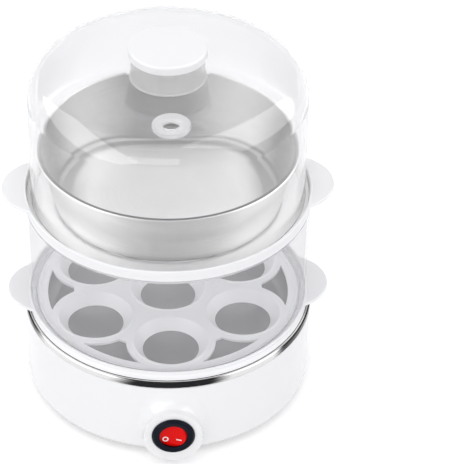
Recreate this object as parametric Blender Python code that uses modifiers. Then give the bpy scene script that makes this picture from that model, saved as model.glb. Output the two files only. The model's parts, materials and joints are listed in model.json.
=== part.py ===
"""Two-tier electric egg cooker: base with a water dish, two egg trays, a steam ring, a bowl and a lid.

The origin is on the cooker's axis at floor level. The switch faces -Y, +Z is up.
"""

from math import acos, asin, atan2, cos, pi, radians, sin, sqrt

import bmesh
import bpy
from mathutils import Vector

MM = 0.001

# Facets
BIG_SIDES = 36
CAP_SIDES = 28
SEAT_SIDES = 18
SMALL_SIDES = 12
PIN_SIDES = 8
HEX_SIDES = 6
EDGE_STEPS = 3
SHOULDER_STEPS = 4
CORNER_STEPS = 2
MERGE_DISTANCE = 0.00005
SHARP_ANGLE = radians(32)

# Fits and working clearances
SEAT_GAP = 0.3 * MM
FIT_GAP = 0.3 * MM
SINK = 0.6 * MM
OVERRUN = 4.0 * MM
LEDGE = 0.2 * MM

# Base housing
FOOT_STAND = 3.0 * MM
BASE_RADIUS = 84.8 * MM
BASE_WALL = 2.4 * MM
BASE_EDGE_RADIUS = 8.0 * MM
BASE_SHOULDER = 52.0 * MM
BASE_OPENING_INSET = 12.8 * MM
BASE_OPENING_RADIUS = BASE_RADIUS - BASE_OPENING_INSET

# Switch boss at the front and cord boss at the rear
BOSS_RADIUS = 17.0 * MM
BOSS_HEIGHT = 20.8 * MM
BOSS_STAND_OUT = 8.2 * MM
BOSS_REACH = BASE_RADIUS + BOSS_STAND_OUT
PANEL_WALL = 2.2 * MM
CORD_BOSS_RADIUS = 10.0 * MM
CORD_BOSS_STAND_OUT = 2.2 * MM
CORD_BOSS_REACH = BASE_RADIUS + CORD_BOSS_STAND_OUT
CORD_HEIGHT = 20.8 * MM

# Posts for the cover screws and lugs for the dish studs
POST_INSET = 8.0 * MM
POST_RING_RADIUS = BASE_OPENING_RADIUS - POST_INSET
POST_RADIUS = 4.2 * MM
POST_TOP = 22.0 * MM
POST_RIB = 2.0 * MM
POST_BEARING = radians(22)
LUG_WIDTH = 12.0 * MM
LUG_THICKNESS = 3.0 * MM
LUG_TOP = 34.0 * MM
STUD_INSET = 24.8 * MM
STUD_RING_RADIUS = BASE_RADIUS - STUD_INSET
STUD_RADIUS = 2.0 * MM
STUD_LENGTH = 14.0 * MM
STUD_BEARINGS = (0.0, radians(120), radians(240))

# Bottom cover, feet and screws
COVER_THICKNESS = 2.0 * MM
COVER_SKIRT_INSET = 22.0 * MM
COVER_SKIRT_RADIUS = BASE_OPENING_RADIUS - COVER_SKIRT_INSET
COVER_SKIRT_HEIGHT = 2.4 * MM
VENT_SLOTS = 8
VENT_SLOT_WIDTH = 3.0 * MM
VENT_SLOT_LENGTH = 20.0 * MM
VENT_SLOT_INSET = 10.0 * MM
VENT_SLOT_OUTER = COVER_SKIRT_RADIUS - VENT_SLOT_INSET
VENT_SLOT_INNER = VENT_SLOT_OUTER - VENT_SLOT_LENGTH
FOOT_INSET = 12.0 * MM
FOOT_RING_RADIUS = BASE_OPENING_RADIUS - FOOT_INSET
FOOT_RADIUS = 7.0 * MM
FOOT_TAPER = 0.8 * MM
FOOT_STEM_RADIUS = 3.0 * MM
FOOT_BARB_RADIUS = 3.9 * MM
FOOT_BARB_HEIGHT = 2.0 * MM
SCREW_RADIUS = 1.4 * MM
SCREW_LENGTH = 12.0 * MM
SCREW_HEAD_RADIUS = 2.9 * MM
SCREW_HEAD_HEIGHT = 1.4 * MM
SCREW_BITE = 14.0 * MM

# Heating dish
SHEET = 0.8 * MM
DISH_RIM_RADIUS = BASE_RADIUS + LEDGE
DISH_RIM_BAND = 3.4 * MM
DISH_SHELF_WIDTH = 7.4 * MM
DISH_WALL_RADIUS = DISH_RIM_RADIUS - DISH_SHELF_WIDTH
DISH_SLOPE_WIDTH = 9.6 * MM
DISH_FLOOR_RADIUS = DISH_WALL_RADIUS - DISH_SLOPE_WIDTH
DISH_DEPTH = 14.7 * MM
DISH_ROLL = 1.0 * MM

# Heating ring, thermostat, its strap and the thermal fuse
ELEMENT_INSET = 23.0 * MM
ELEMENT_RADIUS = DISH_FLOOR_RADIUS - ELEMENT_INSET
ELEMENT_TUBE = 3.2 * MM
ELEMENT_GAP = radians(16)
ELEMENT_STEPS = 24
ELEMENT_BEND = 6.4 * MM
ELEMENT_LEG = 11.0 * MM
PIN_RADIUS = 1.2 * MM
PIN_LENGTH = 6.0 * MM
THERMOSTAT_RADIUS = 8.0 * MM
THERMOSTAT_CAP = 1.4 * MM
THERMOSTAT_HEIGHT = 8.4 * MM
THERMOSTAT_STEP = 0.6 * MM
BLADE_WIDTH = 4.0 * MM
BLADE_THICKNESS = 0.8 * MM
BLADE_LENGTH = 6.0 * MM
BLADE_SPACING = 7.0 * MM
STRAP_REACH = 22.0 * MM
STRAP_END_RADIUS = 5.0 * MM
STRAP_RING_RADIUS = 9.0 * MM
STRAP_EYE_RADIUS = 6.0 * MM
STRAP_THICKNESS = 1.2 * MM
STRAP_STUD_RADIUS = 1.5 * MM
STRAP_STUD_LENGTH = 13.5 * MM
FUSE_RADIUS = 2.0 * MM
FUSE_LENGTH = 11.0 * MM
FUSE_WIRE = 0.7 * MM
FUSE_WIRE_LENGTH = 3.0 * MM
FUSE_INSET = 15.0 * MM
FUSE_OFFSET = ELEMENT_RADIUS - FUSE_INSET

# Nuts
DISH_NUT_RADIUS = 4.2 * MM
DISH_NUT_HEIGHT = 3.2 * MM
STRAP_NUT_RADIUS = 3.2 * MM
STRAP_NUT_HEIGHT = 2.4 * MM

# Switch
SWITCH_HEIGHT = 23.0 * MM
BEZEL_RADIUS = 12.4 * MM
BEZEL_RISE = 1.9 * MM
BEZEL_CREST_RADIUS = 10.7 * MM
BEZEL_MOUTH_RADIUS = 8.7 * MM
BEZEL_MOUTH_DROP = 0.6 * MM
BARREL_RADIUS = 10.6 * MM
BARREL_WALL = 1.1 * MM
BARREL_DEPTH = 14.5 * MM
ROCKER_BALL_RADIUS = 9.12 * MM
ROCKER_FACE = 4.0 * MM
ROCKER_BACK = 3.0 * MM
ROCKER_PIVOT_DEPTH = 3.0 * MM
ROCKER_TILT = radians(8)
ROCKER_DISH_RADIUS = 26.0 * MM
ROCKER_LEVER_LENGTH = 5.5 * MM
ROCKER_LEVER_ROOT = 3.0 * MM
ROCKER_LEVER_TIP = 2.0 * MM
PIVOT_RADIUS = 1.2 * MM
PIVOT_INSET = 0.4 * MM
TERMINAL_SPACING = 9.0 * MM

# Cord gland and terminal block
GLAND_NECK_RADIUS = 5.0 * MM
GLAND_FLANGE_RADIUS = 8.0 * MM
GLAND_FLANGE = 2.4 * MM
GLAND_NOZZLE_RADIUS = 6.4 * MM
GLAND_TIP_RADIUS = 5.4 * MM
GLAND_BARB_RADIUS = 6.4 * MM
GLAND_BARB_LENGTH = 2.2 * MM
GLAND_BORE = 3.3 * MM
BLOCK_WIDTH = 22.0 * MM
BLOCK_DEPTH = 11.0 * MM
BLOCK_HEIGHT = 10.0 * MM
BLOCK_INSET = 10.0 * MM
BLOCK_PLACE = BASE_OPENING_RADIUS - BLOCK_INSET
BLOCK_POLE_SPACING = 10.0 * MM
BLOCK_BORE = 1.8 * MM

# Inner leads
LEAD_RADIUS = 1.1 * MM
LEAD_RUN_INSET = 10.8 * MM
LEAD_RUN_RADIUS = BASE_RADIUS - LEAD_RUN_INSET
LEAD_RUN_HEIGHT = 27.0 * MM
LEAD_LOW_HEIGHT = 15.0 * MM
LEAD_SPACING = 4.0 * MM
LEAD_SAG = 1.0 * MM
LEAD_INSET = 7.5 * MM
LEAD_CLEARANCE = 10.0 * MM
LEAD_PASS = 15.0 * MM
LEAD_STEPS = 2

# Egg trays
SEATS_AROUND = 6
LOWER_RIM_INSET = 2.0 * MM
LOWER_RIM_RADIUS = DISH_RIM_RADIUS - LOWER_RIM_INSET
WINDOW_INSET = 11.5 * MM
WINDOW_OUTER_RADIUS = LOWER_RIM_RADIUS - WINDOW_INSET
WINDOW_CORNER_RADIUS = 2.0 * MM
WINDOW_SIDE_STEPS = 2
SEAT_WEB = 7.0 * MM
SEAT_RADIUS = (WINDOW_OUTER_RADIUS - SEAT_WEB) / 3
SEAT_PITCH = 2 * SEAT_RADIUS + SEAT_WEB
SEAT_TAPER = 5.5 * MM
SEAT_MOUTH_RADIUS = SEAT_RADIUS - SEAT_TAPER
SEAT_WALL = 1.8 * MM
SEAT_DEPTH = 6.5 * MM
SEAT_LIP = 0.5 * MM
SEAT_MARGIN = 5.5 * MM
TRAY_FLOOR = 1.6 * MM
TRAY_WALL = 1.6 * MM
TAB_THICKNESS = 1.8 * MM
TAB_STEPS = 8
LOWER_RIM_HEIGHT = 5.5 * MM
LOWER_TAB_LENGTH = 12.0 * MM
LOWER_TAB_REACH = LOWER_RIM_RADIUS + LOWER_TAB_LENGTH
LOWER_TAB_HALF_WIDTH = 23.5 * MM
LOWER_BEAD_HEIGHT = 1.5 * MM
LOWER_LIP_DROP = 2.5 * MM

# Steam ring
RING_HEIGHT = 68.8 * MM
RING_WALL = 1.6 * MM
RING_INSET = 4.5 * MM
RING_FOOT_RADIUS = LOWER_RIM_RADIUS - RING_INSET
RING_FLARE = 3.5 * MM
RING_FLARE_HEIGHT = 18.0 * MM
RING_FLARE_RADIUS = RING_FOOT_RADIUS + RING_FLARE
RING_TAPER = 0.7 * MM
RING_TOP_RADIUS = RING_FLARE_RADIUS + RING_TAPER

# Upper tray
UPPER_RIM_MARGIN = 0.8 * MM
UPPER_RIM_RADIUS = RING_TOP_RADIUS + UPPER_RIM_MARGIN
UPPER_RIM_HEIGHT = 7.2 * MM
UPPER_TAB_LENGTH = 12.5 * MM
UPPER_TAB_REACH = UPPER_RIM_RADIUS + UPPER_TAB_LENGTH
UPPER_TAB_HALF_WIDTH = 25.0 * MM
UPPER_FLOOR_DROP = 1.5 * MM

# Lid
LID_INSET = 4.3 * MM
LID_RADIUS = UPPER_RIM_RADIUS - LID_INSET
LID_WALL = 1.8 * MM
LID_HEIGHT = 83.4 * MM
LID_SHOULDER_RADIUS = 16.5 * MM
LID_DIP = 4.0 * MM
LID_CROWN = 0.5 * MM
LID_FOOT_WIDTH = 2.3 * MM
LID_FOOT_HEIGHT = 1.6 * MM
GRIP_RADIUS = 20.9 * MM
GRIP_WALL = 2.0 * MM
GRIP_HEIGHT = 13.5 * MM
VENT_INSET = 25.2 * MM
VENT_PLACE = LID_RADIUS - VENT_INSET
VENT_BOSS_RADIUS = 10.6 * MM
VENT_MOUTH_RADIUS = 9.6 * MM
VENT_HOLE_RADIUS = 4.7 * MM
VENT_SINK_DEPTH = 2.2 * MM
VENT_BOSS_HEIGHT = 4.4 * MM
VENT_BOSS_RISE = 0.2 * MM

# Steam bowl
BOWL_MARGIN = 2.4 * MM
BOWL_HEIGHT = 37.1 * MM
BOWL_RIM_RADIUS = LID_RADIUS - LID_WALL - BOWL_MARGIN
BOWL_RIM_WIDTH = 2.5 * MM
BOWL_RIM_THICKNESS = 1.2 * MM
BOWL_TAPER = 10.0 * MM
BOWL_FOOT_RADIUS = BOWL_RIM_RADIUS - BOWL_TAPER
BOWL_CORNER_RADIUS = 8.0 * MM

# Knob cap with its screw and washer
CAP_OVERHANG = 1.3 * MM
CAP_RADIUS = GRIP_RADIUS + CAP_OVERHANG
CAP_HEIGHT = 5.7 * MM
CAP_CROWN = 1.0 * MM
CAP_CROWN_SHARE = 0.25
CAP_EDGE_RADIUS = 2.4 * MM
CAP_WALL = 2.2 * MM
CAP_LIP = 2.0 * MM
STEM_RADIUS = 4.2 * MM
KNOB_SCREW_RADIUS = 1.6 * MM
KNOB_SCREW_BITE = 8.0 * MM
KNOB_SCREW_HEAD_RADIUS = 3.4 * MM
KNOB_SCREW_HEAD = 2.2 * MM
WASHER_RADIUS = 5.4 * MM
WASHER_THICKNESS = 1.2 * MM

# Heights that follow from the pieces below
COVER_TOP = FOOT_STAND + COVER_THICKNESS
SHELF_TOP = BASE_SHOULDER + SEAT_GAP + DISH_RIM_BAND
DISH_FLOOR = SHELF_TOP - DISH_DEPTH
DISH_UNDERSIDE = DISH_FLOOR - SHEET
LOWER_TRAY_BOTTOM = SHELF_TOP + SEAT_GAP
LOWER_FLOOR_TOP = LOWER_TRAY_BOTTOM + LEDGE + TRAY_FLOOR
RING_BOTTOM = LOWER_FLOOR_TOP + SEAT_GAP
RING_TOP = RING_BOTTOM + RING_HEIGHT
UPPER_TRAY_BOTTOM = RING_TOP + SEAT_GAP
UPPER_FLOOR_TOP = UPPER_TRAY_BOTTOM - UPPER_FLOOR_DROP
BOWL_BOTTOM = UPPER_FLOOR_TOP + SEAT_LIP + SEAT_GAP
LID_BOTTOM = UPPER_TRAY_BOTTOM + TRAY_WALL + SEAT_GAP
LID_CREST = LID_BOTTOM + LID_HEIGHT
LID_FLOOR = LID_CREST - LID_DIP
GRIP_TOP = LID_FLOOR + GRIP_HEIGHT
CAP_BOTTOM = GRIP_TOP + SEAT_GAP

# Fits that follow from their neighbours
BASE_INNER_RADIUS = BASE_RADIUS - BASE_WALL
SWITCH_REACH = BOSS_REACH + SEAT_GAP + BEZEL_RISE
GLAND_REACH = SWITCH_REACH
PIVOT_REACH = BOSS_REACH - ROCKER_PIVOT_DEPTH
LID_SCREW_HOLE = KNOB_SCREW_RADIUS + FIT_GAP

PARTS = "egg_cooker"
CUTTERS = "cutters"

WHITE_PLASTIC = ("white_plastic", (0.86, 0.86, 0.86, 1.0), 0.25, 0.0)
TRAY_PLASTIC = ("tray_plastic", (0.80, 0.80, 0.80, 1.0), 0.35, 0.0)
FROSTED_PLASTIC = ("frosted_plastic", (0.74, 0.73, 0.73, 1.0), 0.5, 0.0)
CLEAR_PLASTIC = ("clear_plastic", (0.92, 0.92, 0.92, 1.0), 0.08, 0.0)
BLACK_PLASTIC = ("black_plastic", (0.012, 0.013, 0.018, 1.0), 0.35, 0.0)
RED_PLASTIC = ("red_plastic", (0.75, 0.01, 0.01, 1.0), 0.25, 0.0)
STAINLESS = ("stainless", (0.55, 0.54, 0.53, 1.0), 0.28, 1.0)
ZINC_STEEL = ("zinc_steel", (0.5, 0.5, 0.5, 1.0), 0.4, 1.0)
HEATER_STEEL = ("heater_steel", (0.28, 0.27, 0.25, 1.0), 0.5, 1.0)
BRASS = ("brass", (0.62, 0.45, 0.19, 1.0), 0.35, 1.0)
RUBBER = ("rubber", (0.55, 0.55, 0.54, 1.0), 0.85, 0.0)
CERAMIC = ("ceramic", (0.72, 0.69, 0.62, 1.0), 0.6, 0.0)
BROWN_LEAD = ("brown_lead", (0.16, 0.06, 0.03, 1.0), 0.5, 0.0)
BLUE_LEAD = ("blue_lead", (0.03, 0.10, 0.34, 1.0), 0.5, 0.0)


def clear_scene():
    """Removes whatever the file opened with."""
    for obj in list(bpy.data.objects):
        bpy.data.objects.remove(obj, do_unlink=True)


def collection(name):
    """Finds or makes a collection in the scene."""
    found = bpy.data.collections.get(name)
    if found is None:
        found = bpy.data.collections.new(name)
        bpy.context.scene.collection.children.link(found)
    return found


def material(finish):
    """Finds or makes the Principled BSDF material of a finish."""
    name, colour, roughness, metallic = finish
    found = bpy.data.materials.get(name)
    if found is None:
        found = bpy.data.materials.new(name)
        found.use_nodes = True
        shader = found.node_tree.nodes["Principled BSDF"]
        shader.inputs["Base Color"].default_value = colour
        shader.inputs["Roughness"].default_value = roughness
        shader.inputs["Metallic"].default_value = metallic
    return found


def place(obj, where=(0, 0, 0), turn=(0, 0, 0)):
    """Puts a shape at its place, among the cutters until it is published."""
    for owner in list(obj.users_collection):
        owner.objects.unlink(obj)
    collection(CUTTERS).objects.link(obj)
    obj.location = where
    obj.rotation_euler = turn
    obj.hide_render = True
    obj.display_type = "WIRE"
    return obj


def settled_mesh(obj):
    """Reads an object's mesh with its modifiers applied."""
    bpy.context.view_layer.update()
    graph = bpy.context.evaluated_depsgraph_get()
    return bpy.data.meshes.new_from_object(obj.evaluated_get(graph), depsgraph=graph)


def publish(obj, name, finish, parent=None):
    """Turns a finished shape into a named part of the cooker."""
    mesh = settled_mesh(obj)
    obj.modifiers.clear()
    obj.data = mesh
    obj.name = name
    mesh.name = name
    mesh.materials.clear()
    mesh.materials.append(material(finish))
    mesh.shade_smooth()
    mesh.set_sharp_from_angle(angle=SHARP_ANGLE)
    collection(CUTTERS).objects.unlink(obj)
    collection(PARTS).objects.link(obj)
    obj.hide_render = False
    obj.display_type = "TEXTURED"
    obj.parent = parent
    return obj


def turned(profile, sides=BIG_SIDES, where=(0, 0, 0), turn=(0, 0, 0), closed=False):
    """Turns a profile of radii and heights about the local Z axis.

    The profile runs down the outer side. A closed one is a ring that stays off the axis.
    """
    mesh = bpy.data.meshes.new("profile")
    last = len(profile)
    edges = [(i, i + 1) for i in range(last - 1)]
    if closed:
        edges.append((last - 1, 0))
    mesh.from_pydata([(r, 0.0, z) for r, z in profile], edges, [])
    obj = place(bpy.data.objects.new("turned", mesh), where, turn)
    screw = obj.modifiers.new("turn", "SCREW")
    screw.steps = sides
    screw.render_steps = sides
    screw.use_merge_vertices = True
    screw.merge_threshold = MERGE_DISTANCE
    return obj


def rod(radius, bottom, top, where=(0, 0, 0), turn=(0, 0, 0), sides=PIN_SIDES, tip_radius=None):
    """A cylinder, or a cone with a tip radius, between two heights on its local Z axis."""
    mesh = bpy.data.meshes.new("rod")
    shape = bmesh.new()
    bmesh.ops.create_cone(
        shape,
        cap_ends=True,
        segments=sides,
        radius1=radius,
        radius2=radius if tip_radius is None else tip_radius,
        depth=top - bottom,
    )
    bmesh.ops.translate(shape, verts=shape.verts, vec=(0, 0, (top + bottom) / 2))
    shape.to_mesh(mesh)
    shape.free()
    return place(bpy.data.objects.new("rod", mesh), where, turn)


def box(low, high, where=(0, 0, 0), turn=(0, 0, 0)):
    """A block between two local corners."""
    mesh = bpy.data.meshes.new("box")
    shape = bmesh.new()
    bmesh.ops.create_cube(shape, size=1.0)
    size = Vector(high) - Vector(low)
    bmesh.ops.scale(shape, verts=shape.verts, vec=size)
    bmesh.ops.translate(shape, verts=shape.verts, vec=(Vector(low) + Vector(high)) / 2)
    shape.to_mesh(mesh)
    shape.free()
    return place(bpy.data.objects.new("box", mesh), where, turn)


def welded(curve_obj):
    """Makes a curve object's shape a mesh object with its caps welded on."""
    mesh = settled_mesh(curve_obj)
    shape = bmesh.new()
    shape.from_mesh(mesh)
    bmesh.ops.remove_doubles(shape, verts=shape.verts, dist=MERGE_DISTANCE)
    shape.to_mesh(mesh)
    shape.free()
    obj = place(bpy.data.objects.new("welded", mesh))
    obj.matrix_world = curve_obj.matrix_world.copy()
    bpy.data.objects.remove(curve_obj, do_unlink=True)
    return obj


def plate(outlines, bottom, top):
    """A flat plate between two heights. The first outline is its edge, the others are holes."""
    curve = bpy.data.curves.new("plate", "CURVE")
    curve.dimensions = "2D"
    curve.fill_mode = "BOTH"
    curve.extrude = (top - bottom) / 2
    for outline in outlines:
        spline = curve.splines.new("POLY")
        spline.points.add(len(outline) - 1)
        for point, (x, y) in zip(spline.points, outline):
            point.co = (x, y, 0.0, 1.0)
        spline.use_cyclic_u = True
    obj = bpy.data.objects.new("plate", curve)
    collection(CUTTERS).objects.link(obj)
    obj.location = (0, 0, (top + bottom) / 2)
    return welded(obj)


def tube(points, radius, radii=None):
    """A round tube along points, with an optional share of its radius at each of them."""
    curve = bpy.data.curves.new("tube", "CURVE")
    curve.dimensions = "3D"
    curve.bevel_depth = radius
    curve.bevel_resolution = 2
    curve.use_fill_caps = True
    spline = curve.splines.new("POLY")
    spline.points.add(len(points) - 1)
    shares = radii if radii else [1.0] * len(points)
    for point, spot, share in zip(spline.points, points, shares):
        point.co = (*spot, 1.0)
        point.radius = share
    obj = bpy.data.objects.new("tube", curve)
    collection(CUTTERS).objects.link(obj)
    return welded(obj)


def combine(obj, tool, operation):
    """Adds one Boolean modifier."""
    step = obj.modifiers.new(operation.lower(), "BOOLEAN")
    step.operation = operation
    step.solver = "EXACT"
    step.object = tool
    return obj


def join(obj, *tools):
    """Joins other shapes to a shape."""
    for tool in tools:
        combine(obj, tool, "UNION")
    return obj


def cut(obj, *tools):
    """Cuts other shapes out of a shape."""
    for tool in tools:
        combine(obj, tool, "DIFFERENCE")
    return obj


def polar(radius, bearing):
    """A flat point at a radius and an angle from +X."""
    return radius * cos(bearing), radius * sin(bearing)


def arc(centre, radius, start, sweep, steps):
    """Points along an arc, ends included."""
    angles = [start + sweep * i / steps for i in range(steps + 1)]
    return [(centre[0] + radius * cos(a), centre[1] + radius * sin(a)) for a in angles]


def circle(radius, sides, centre=(0, 0)):
    """Points round a circle."""
    return arc(centre, radius, 0.0, 2 * pi * (sides - 1) / sides, sides - 1)


def facing(reach_turn):
    """Euler angles that lay a local +Z axis along the front (-1) or the rear (+1)."""
    return (-reach_turn * pi / 2, 0, 0)


FRONT = facing(-1)
REAR = facing(1)


def smooth_route(spots, steps):
    """A smooth curve through spots, so that a lead bends like a wire."""
    spots = [Vector(spot) for spot in spots]
    lengths = [(b - a).length for a, b in zip(spots, spots[1:])]
    heads = [(spots[1] - spots[0]) / lengths[0]]
    for a, b, before, after in zip(spots, spots[2:], lengths, lengths[1:]):
        heads.append((b - a) / (before + after))
    heads.append((spots[-1] - spots[-2]) / lengths[-1])
    points = []
    for a, b, leave, arrive, length in zip(spots, spots[1:], heads, heads[1:], lengths):
        for i in range(steps):
            t = i / steps
            blend = t * t * (3 - 2 * t)
            leaving = leave * length * t * (1 - t) ** 2
            arriving = arrive * length * t * t * (1 - t)
            points.append(a.lerp(b, blend) + leaving - arriving)
    return points + [spots[-1]]


def base_housing():
    """Moulded base: turned shell, switch boss, cord boss, screw posts and stud lugs."""
    bottom = FOOT_STAND
    edge_centre = (BASE_RADIUS - BASE_EDGE_RADIUS, bottom + BASE_EDGE_RADIUS)
    inner_edge = BASE_EDGE_RADIUS - BASE_WALL
    spigot_radius = DISH_RIM_RADIUS - SHEET - FIT_GAP
    spigot_top = SHELF_TOP - SHEET - SEAT_GAP
    profile = [(BASE_INNER_RADIUS, spigot_top), (spigot_radius, spigot_top)]
    profile += [(spigot_radius, BASE_SHOULDER), (BASE_RADIUS, BASE_SHOULDER)]
    profile += arc(edge_centre, BASE_EDGE_RADIUS, 0.0, -pi / 2, EDGE_STEPS)
    profile += [(BASE_OPENING_RADIUS, bottom), (BASE_OPENING_RADIUS, bottom + BASE_WALL)]
    profile += arc(edge_centre, inner_edge, -pi / 2, pi / 2, EDGE_STEPS)
    shell = turned(profile, closed=True)
    root = sqrt(BASE_INNER_RADIUS**2 - BOSS_RADIUS**2) - SINK
    boss_axis = (0, 0, BOSS_HEIGHT)
    join(shell, rod(BOSS_RADIUS, root, BOSS_REACH, boss_axis, FRONT, BIG_SIDES))
    cord_root = BASE_INNER_RADIUS - SINK
    cord_axis = (0, 0, CORD_HEIGHT)
    join(shell, rod(CORD_BOSS_RADIUS, cord_root, CORD_BOSS_REACH, cord_axis, REAR, SEAT_SIDES))
    for side in (0.0, pi):
        for lean in (-POST_BEARING, POST_BEARING):
            bearing = side + lean
            x, y = polar(POST_RING_RADIUS, bearing)
            post_bottom = COVER_TOP + SEAT_GAP
            wall = BASE_RADIUS - BASE_WALL / 2
            rib_low = (POST_RING_RADIUS, -POST_RIB / 2, bottom + 2 * BASE_WALL)
            rib_high = (wall, POST_RIB / 2, POST_TOP - SINK)
            join(shell, box(rib_low, rib_high, turn=(0, 0, bearing)))
            join(shell, rod(POST_RADIUS, post_bottom, POST_TOP, (x, y, 0), sides=PIN_SIDES))
            pilot_bottom, pilot_top = post_bottom - OVERRUN, post_bottom + SCREW_BITE
            cut(shell, rod(SCREW_RADIUS + FIT_GAP, pilot_bottom, pilot_top, (x, y, 0)))
    for bearing in STUD_BEARINGS:
        x, y = polar(STUD_RING_RADIUS, bearing)
        lug_low = (STUD_RING_RADIUS - LUG_WIDTH / 2, -LUG_WIDTH / 2, LUG_TOP - LUG_THICKNESS)
        lug_high = (BASE_RADIUS - BASE_WALL / 2, LUG_WIDTH / 2, LUG_TOP)
        join(shell, box(lug_low, lug_high, turn=(0, 0, bearing)))
        hole_bottom, hole_top = LUG_TOP - LUG_THICKNESS - OVERRUN, LUG_TOP + OVERRUN
        cut(shell, rod(STUD_RADIUS + FIT_GAP, hole_bottom, hole_top, (x, y, 0)))
    hollow_end = BOSS_REACH - PANEL_WALL
    cut(shell, rod(BOSS_RADIUS - PANEL_WALL, root - OVERRUN, hollow_end, boss_axis, FRONT, BIG_SIDES))
    switch_axis = (0, 0, SWITCH_HEIGHT)
    cut(shell, rod(BARREL_RADIUS + FIT_GAP, root, BOSS_REACH + OVERRUN, switch_axis, FRONT, CAP_SIDES))
    gland_start, gland_end = cord_root - OVERRUN, CORD_BOSS_REACH + OVERRUN
    cut(shell, rod(GLAND_NECK_RADIUS + FIT_GAP, gland_start, gland_end, cord_axis, REAR, SMALL_SIDES))
    return publish(shell, "base_housing", WHITE_PLASTIC)


def cover_screw_places():
    """Flat places of the four cover screws."""
    bearings = [side + lean for side in (0.0, pi) for lean in (-POST_BEARING, POST_BEARING)]
    return [polar(POST_RING_RADIUS, bearing) for bearing in bearings]


def foot_places():
    """Flat places of the four feet."""
    return [polar(FOOT_RING_RADIUS, pi / 4 + i * pi / 2) for i in range(4)]


def vent_slot(bearing):
    """Outline of one radial vent slot with round ends."""
    half = VENT_SLOT_WIDTH / 2
    outer = arc((VENT_SLOT_OUTER - half, 0), half, -pi / 2, pi, CORNER_STEPS)
    inner = arc((VENT_SLOT_INNER + half, 0), half, pi / 2, pi, CORNER_STEPS)
    c, s = cos(bearing), sin(bearing)
    return [(x * c - y * s, x * s + y * c) for x, y in outer + inner]


def bottom_cover():
    """Underside cover with vent slots, a stiffening ring and countersunk screw holes."""
    cover = rod(BASE_OPENING_RADIUS - FIT_GAP, FOOT_STAND, COVER_TOP, sides=BIG_SIDES)
    skirt_top = COVER_TOP + COVER_SKIRT_HEIGHT
    skirt_inner = COVER_SKIRT_RADIUS - COVER_THICKNESS
    skirt_root = COVER_TOP - SINK
    skirt = [(skirt_inner, skirt_top), (COVER_SKIRT_RADIUS, skirt_top)]
    skirt += [(COVER_SKIRT_RADIUS, skirt_root), (skirt_inner, skirt_root)]
    join(cover, turned(skirt, closed=True))
    below, above = FOOT_STAND - OVERRUN, skirt_top + OVERRUN
    well_top = FOOT_STAND + SCREW_HEAD_HEIGHT + FIT_GAP
    for i in range(VENT_SLOTS):
        cut(cover, plate([vent_slot(2 * pi * i / VENT_SLOTS)], below, above))
    for x, y in foot_places():
        cut(cover, rod(FOOT_STEM_RADIUS + FIT_GAP, below, above, (x, y, 0), sides=SMALL_SIDES))
    for x, y in cover_screw_places():
        cut(cover, rod(SCREW_RADIUS + FIT_GAP, below, above, (x, y, 0)))
        cut(cover, rod(SCREW_HEAD_RADIUS + FIT_GAP, below, well_top, (x, y, 0)))
    return publish(cover, "bottom_cover", WHITE_PLASTIC)


def feet():
    """Four rubber feet with barbed stems through the cover."""
    barb_bottom = COVER_TOP + SEAT_GAP
    pad_top = FOOT_STAND - SEAT_GAP
    profile = [
        (0.0, barb_bottom + FOOT_BARB_HEIGHT),
        (FOOT_STEM_RADIUS, barb_bottom + FOOT_BARB_HEIGHT),
        (FOOT_BARB_RADIUS, barb_bottom),
        (FOOT_STEM_RADIUS, barb_bottom),
        (FOOT_STEM_RADIUS, pad_top),
        (FOOT_RADIUS, pad_top),
        (FOOT_RADIUS - FOOT_TAPER, 0.0),
        (0.0, 0.0),
    ]
    names = ("foot_rear_right", "foot_rear_left", "foot_front_left", "foot_front_right")
    for name, (x, y) in zip(names, foot_places()):
        publish(turned(profile, SMALL_SIDES, (x, y, 0)), name, RUBBER)


def cover_screws():
    """Four self-tapping screws that hold the cover to the posts."""
    head_bottom = FOOT_STAND
    head_top = head_bottom + SCREW_HEAD_HEIGHT
    profile = [
        (0.0, head_bottom + SCREW_LENGTH),
        (SCREW_RADIUS, head_bottom + SCREW_LENGTH - SCREW_RADIUS),
        (SCREW_RADIUS, head_top),
        (SCREW_HEAD_RADIUS, head_top),
        (SCREW_HEAD_RADIUS, head_bottom),
        (0.0, head_bottom),
    ]
    for number, (x, y) in enumerate(cover_screw_places(), 1):
        publish(turned(profile, PIN_SIDES, (x, y, 0)), f"cover_screw_{number}", ZINC_STEEL)


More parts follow.
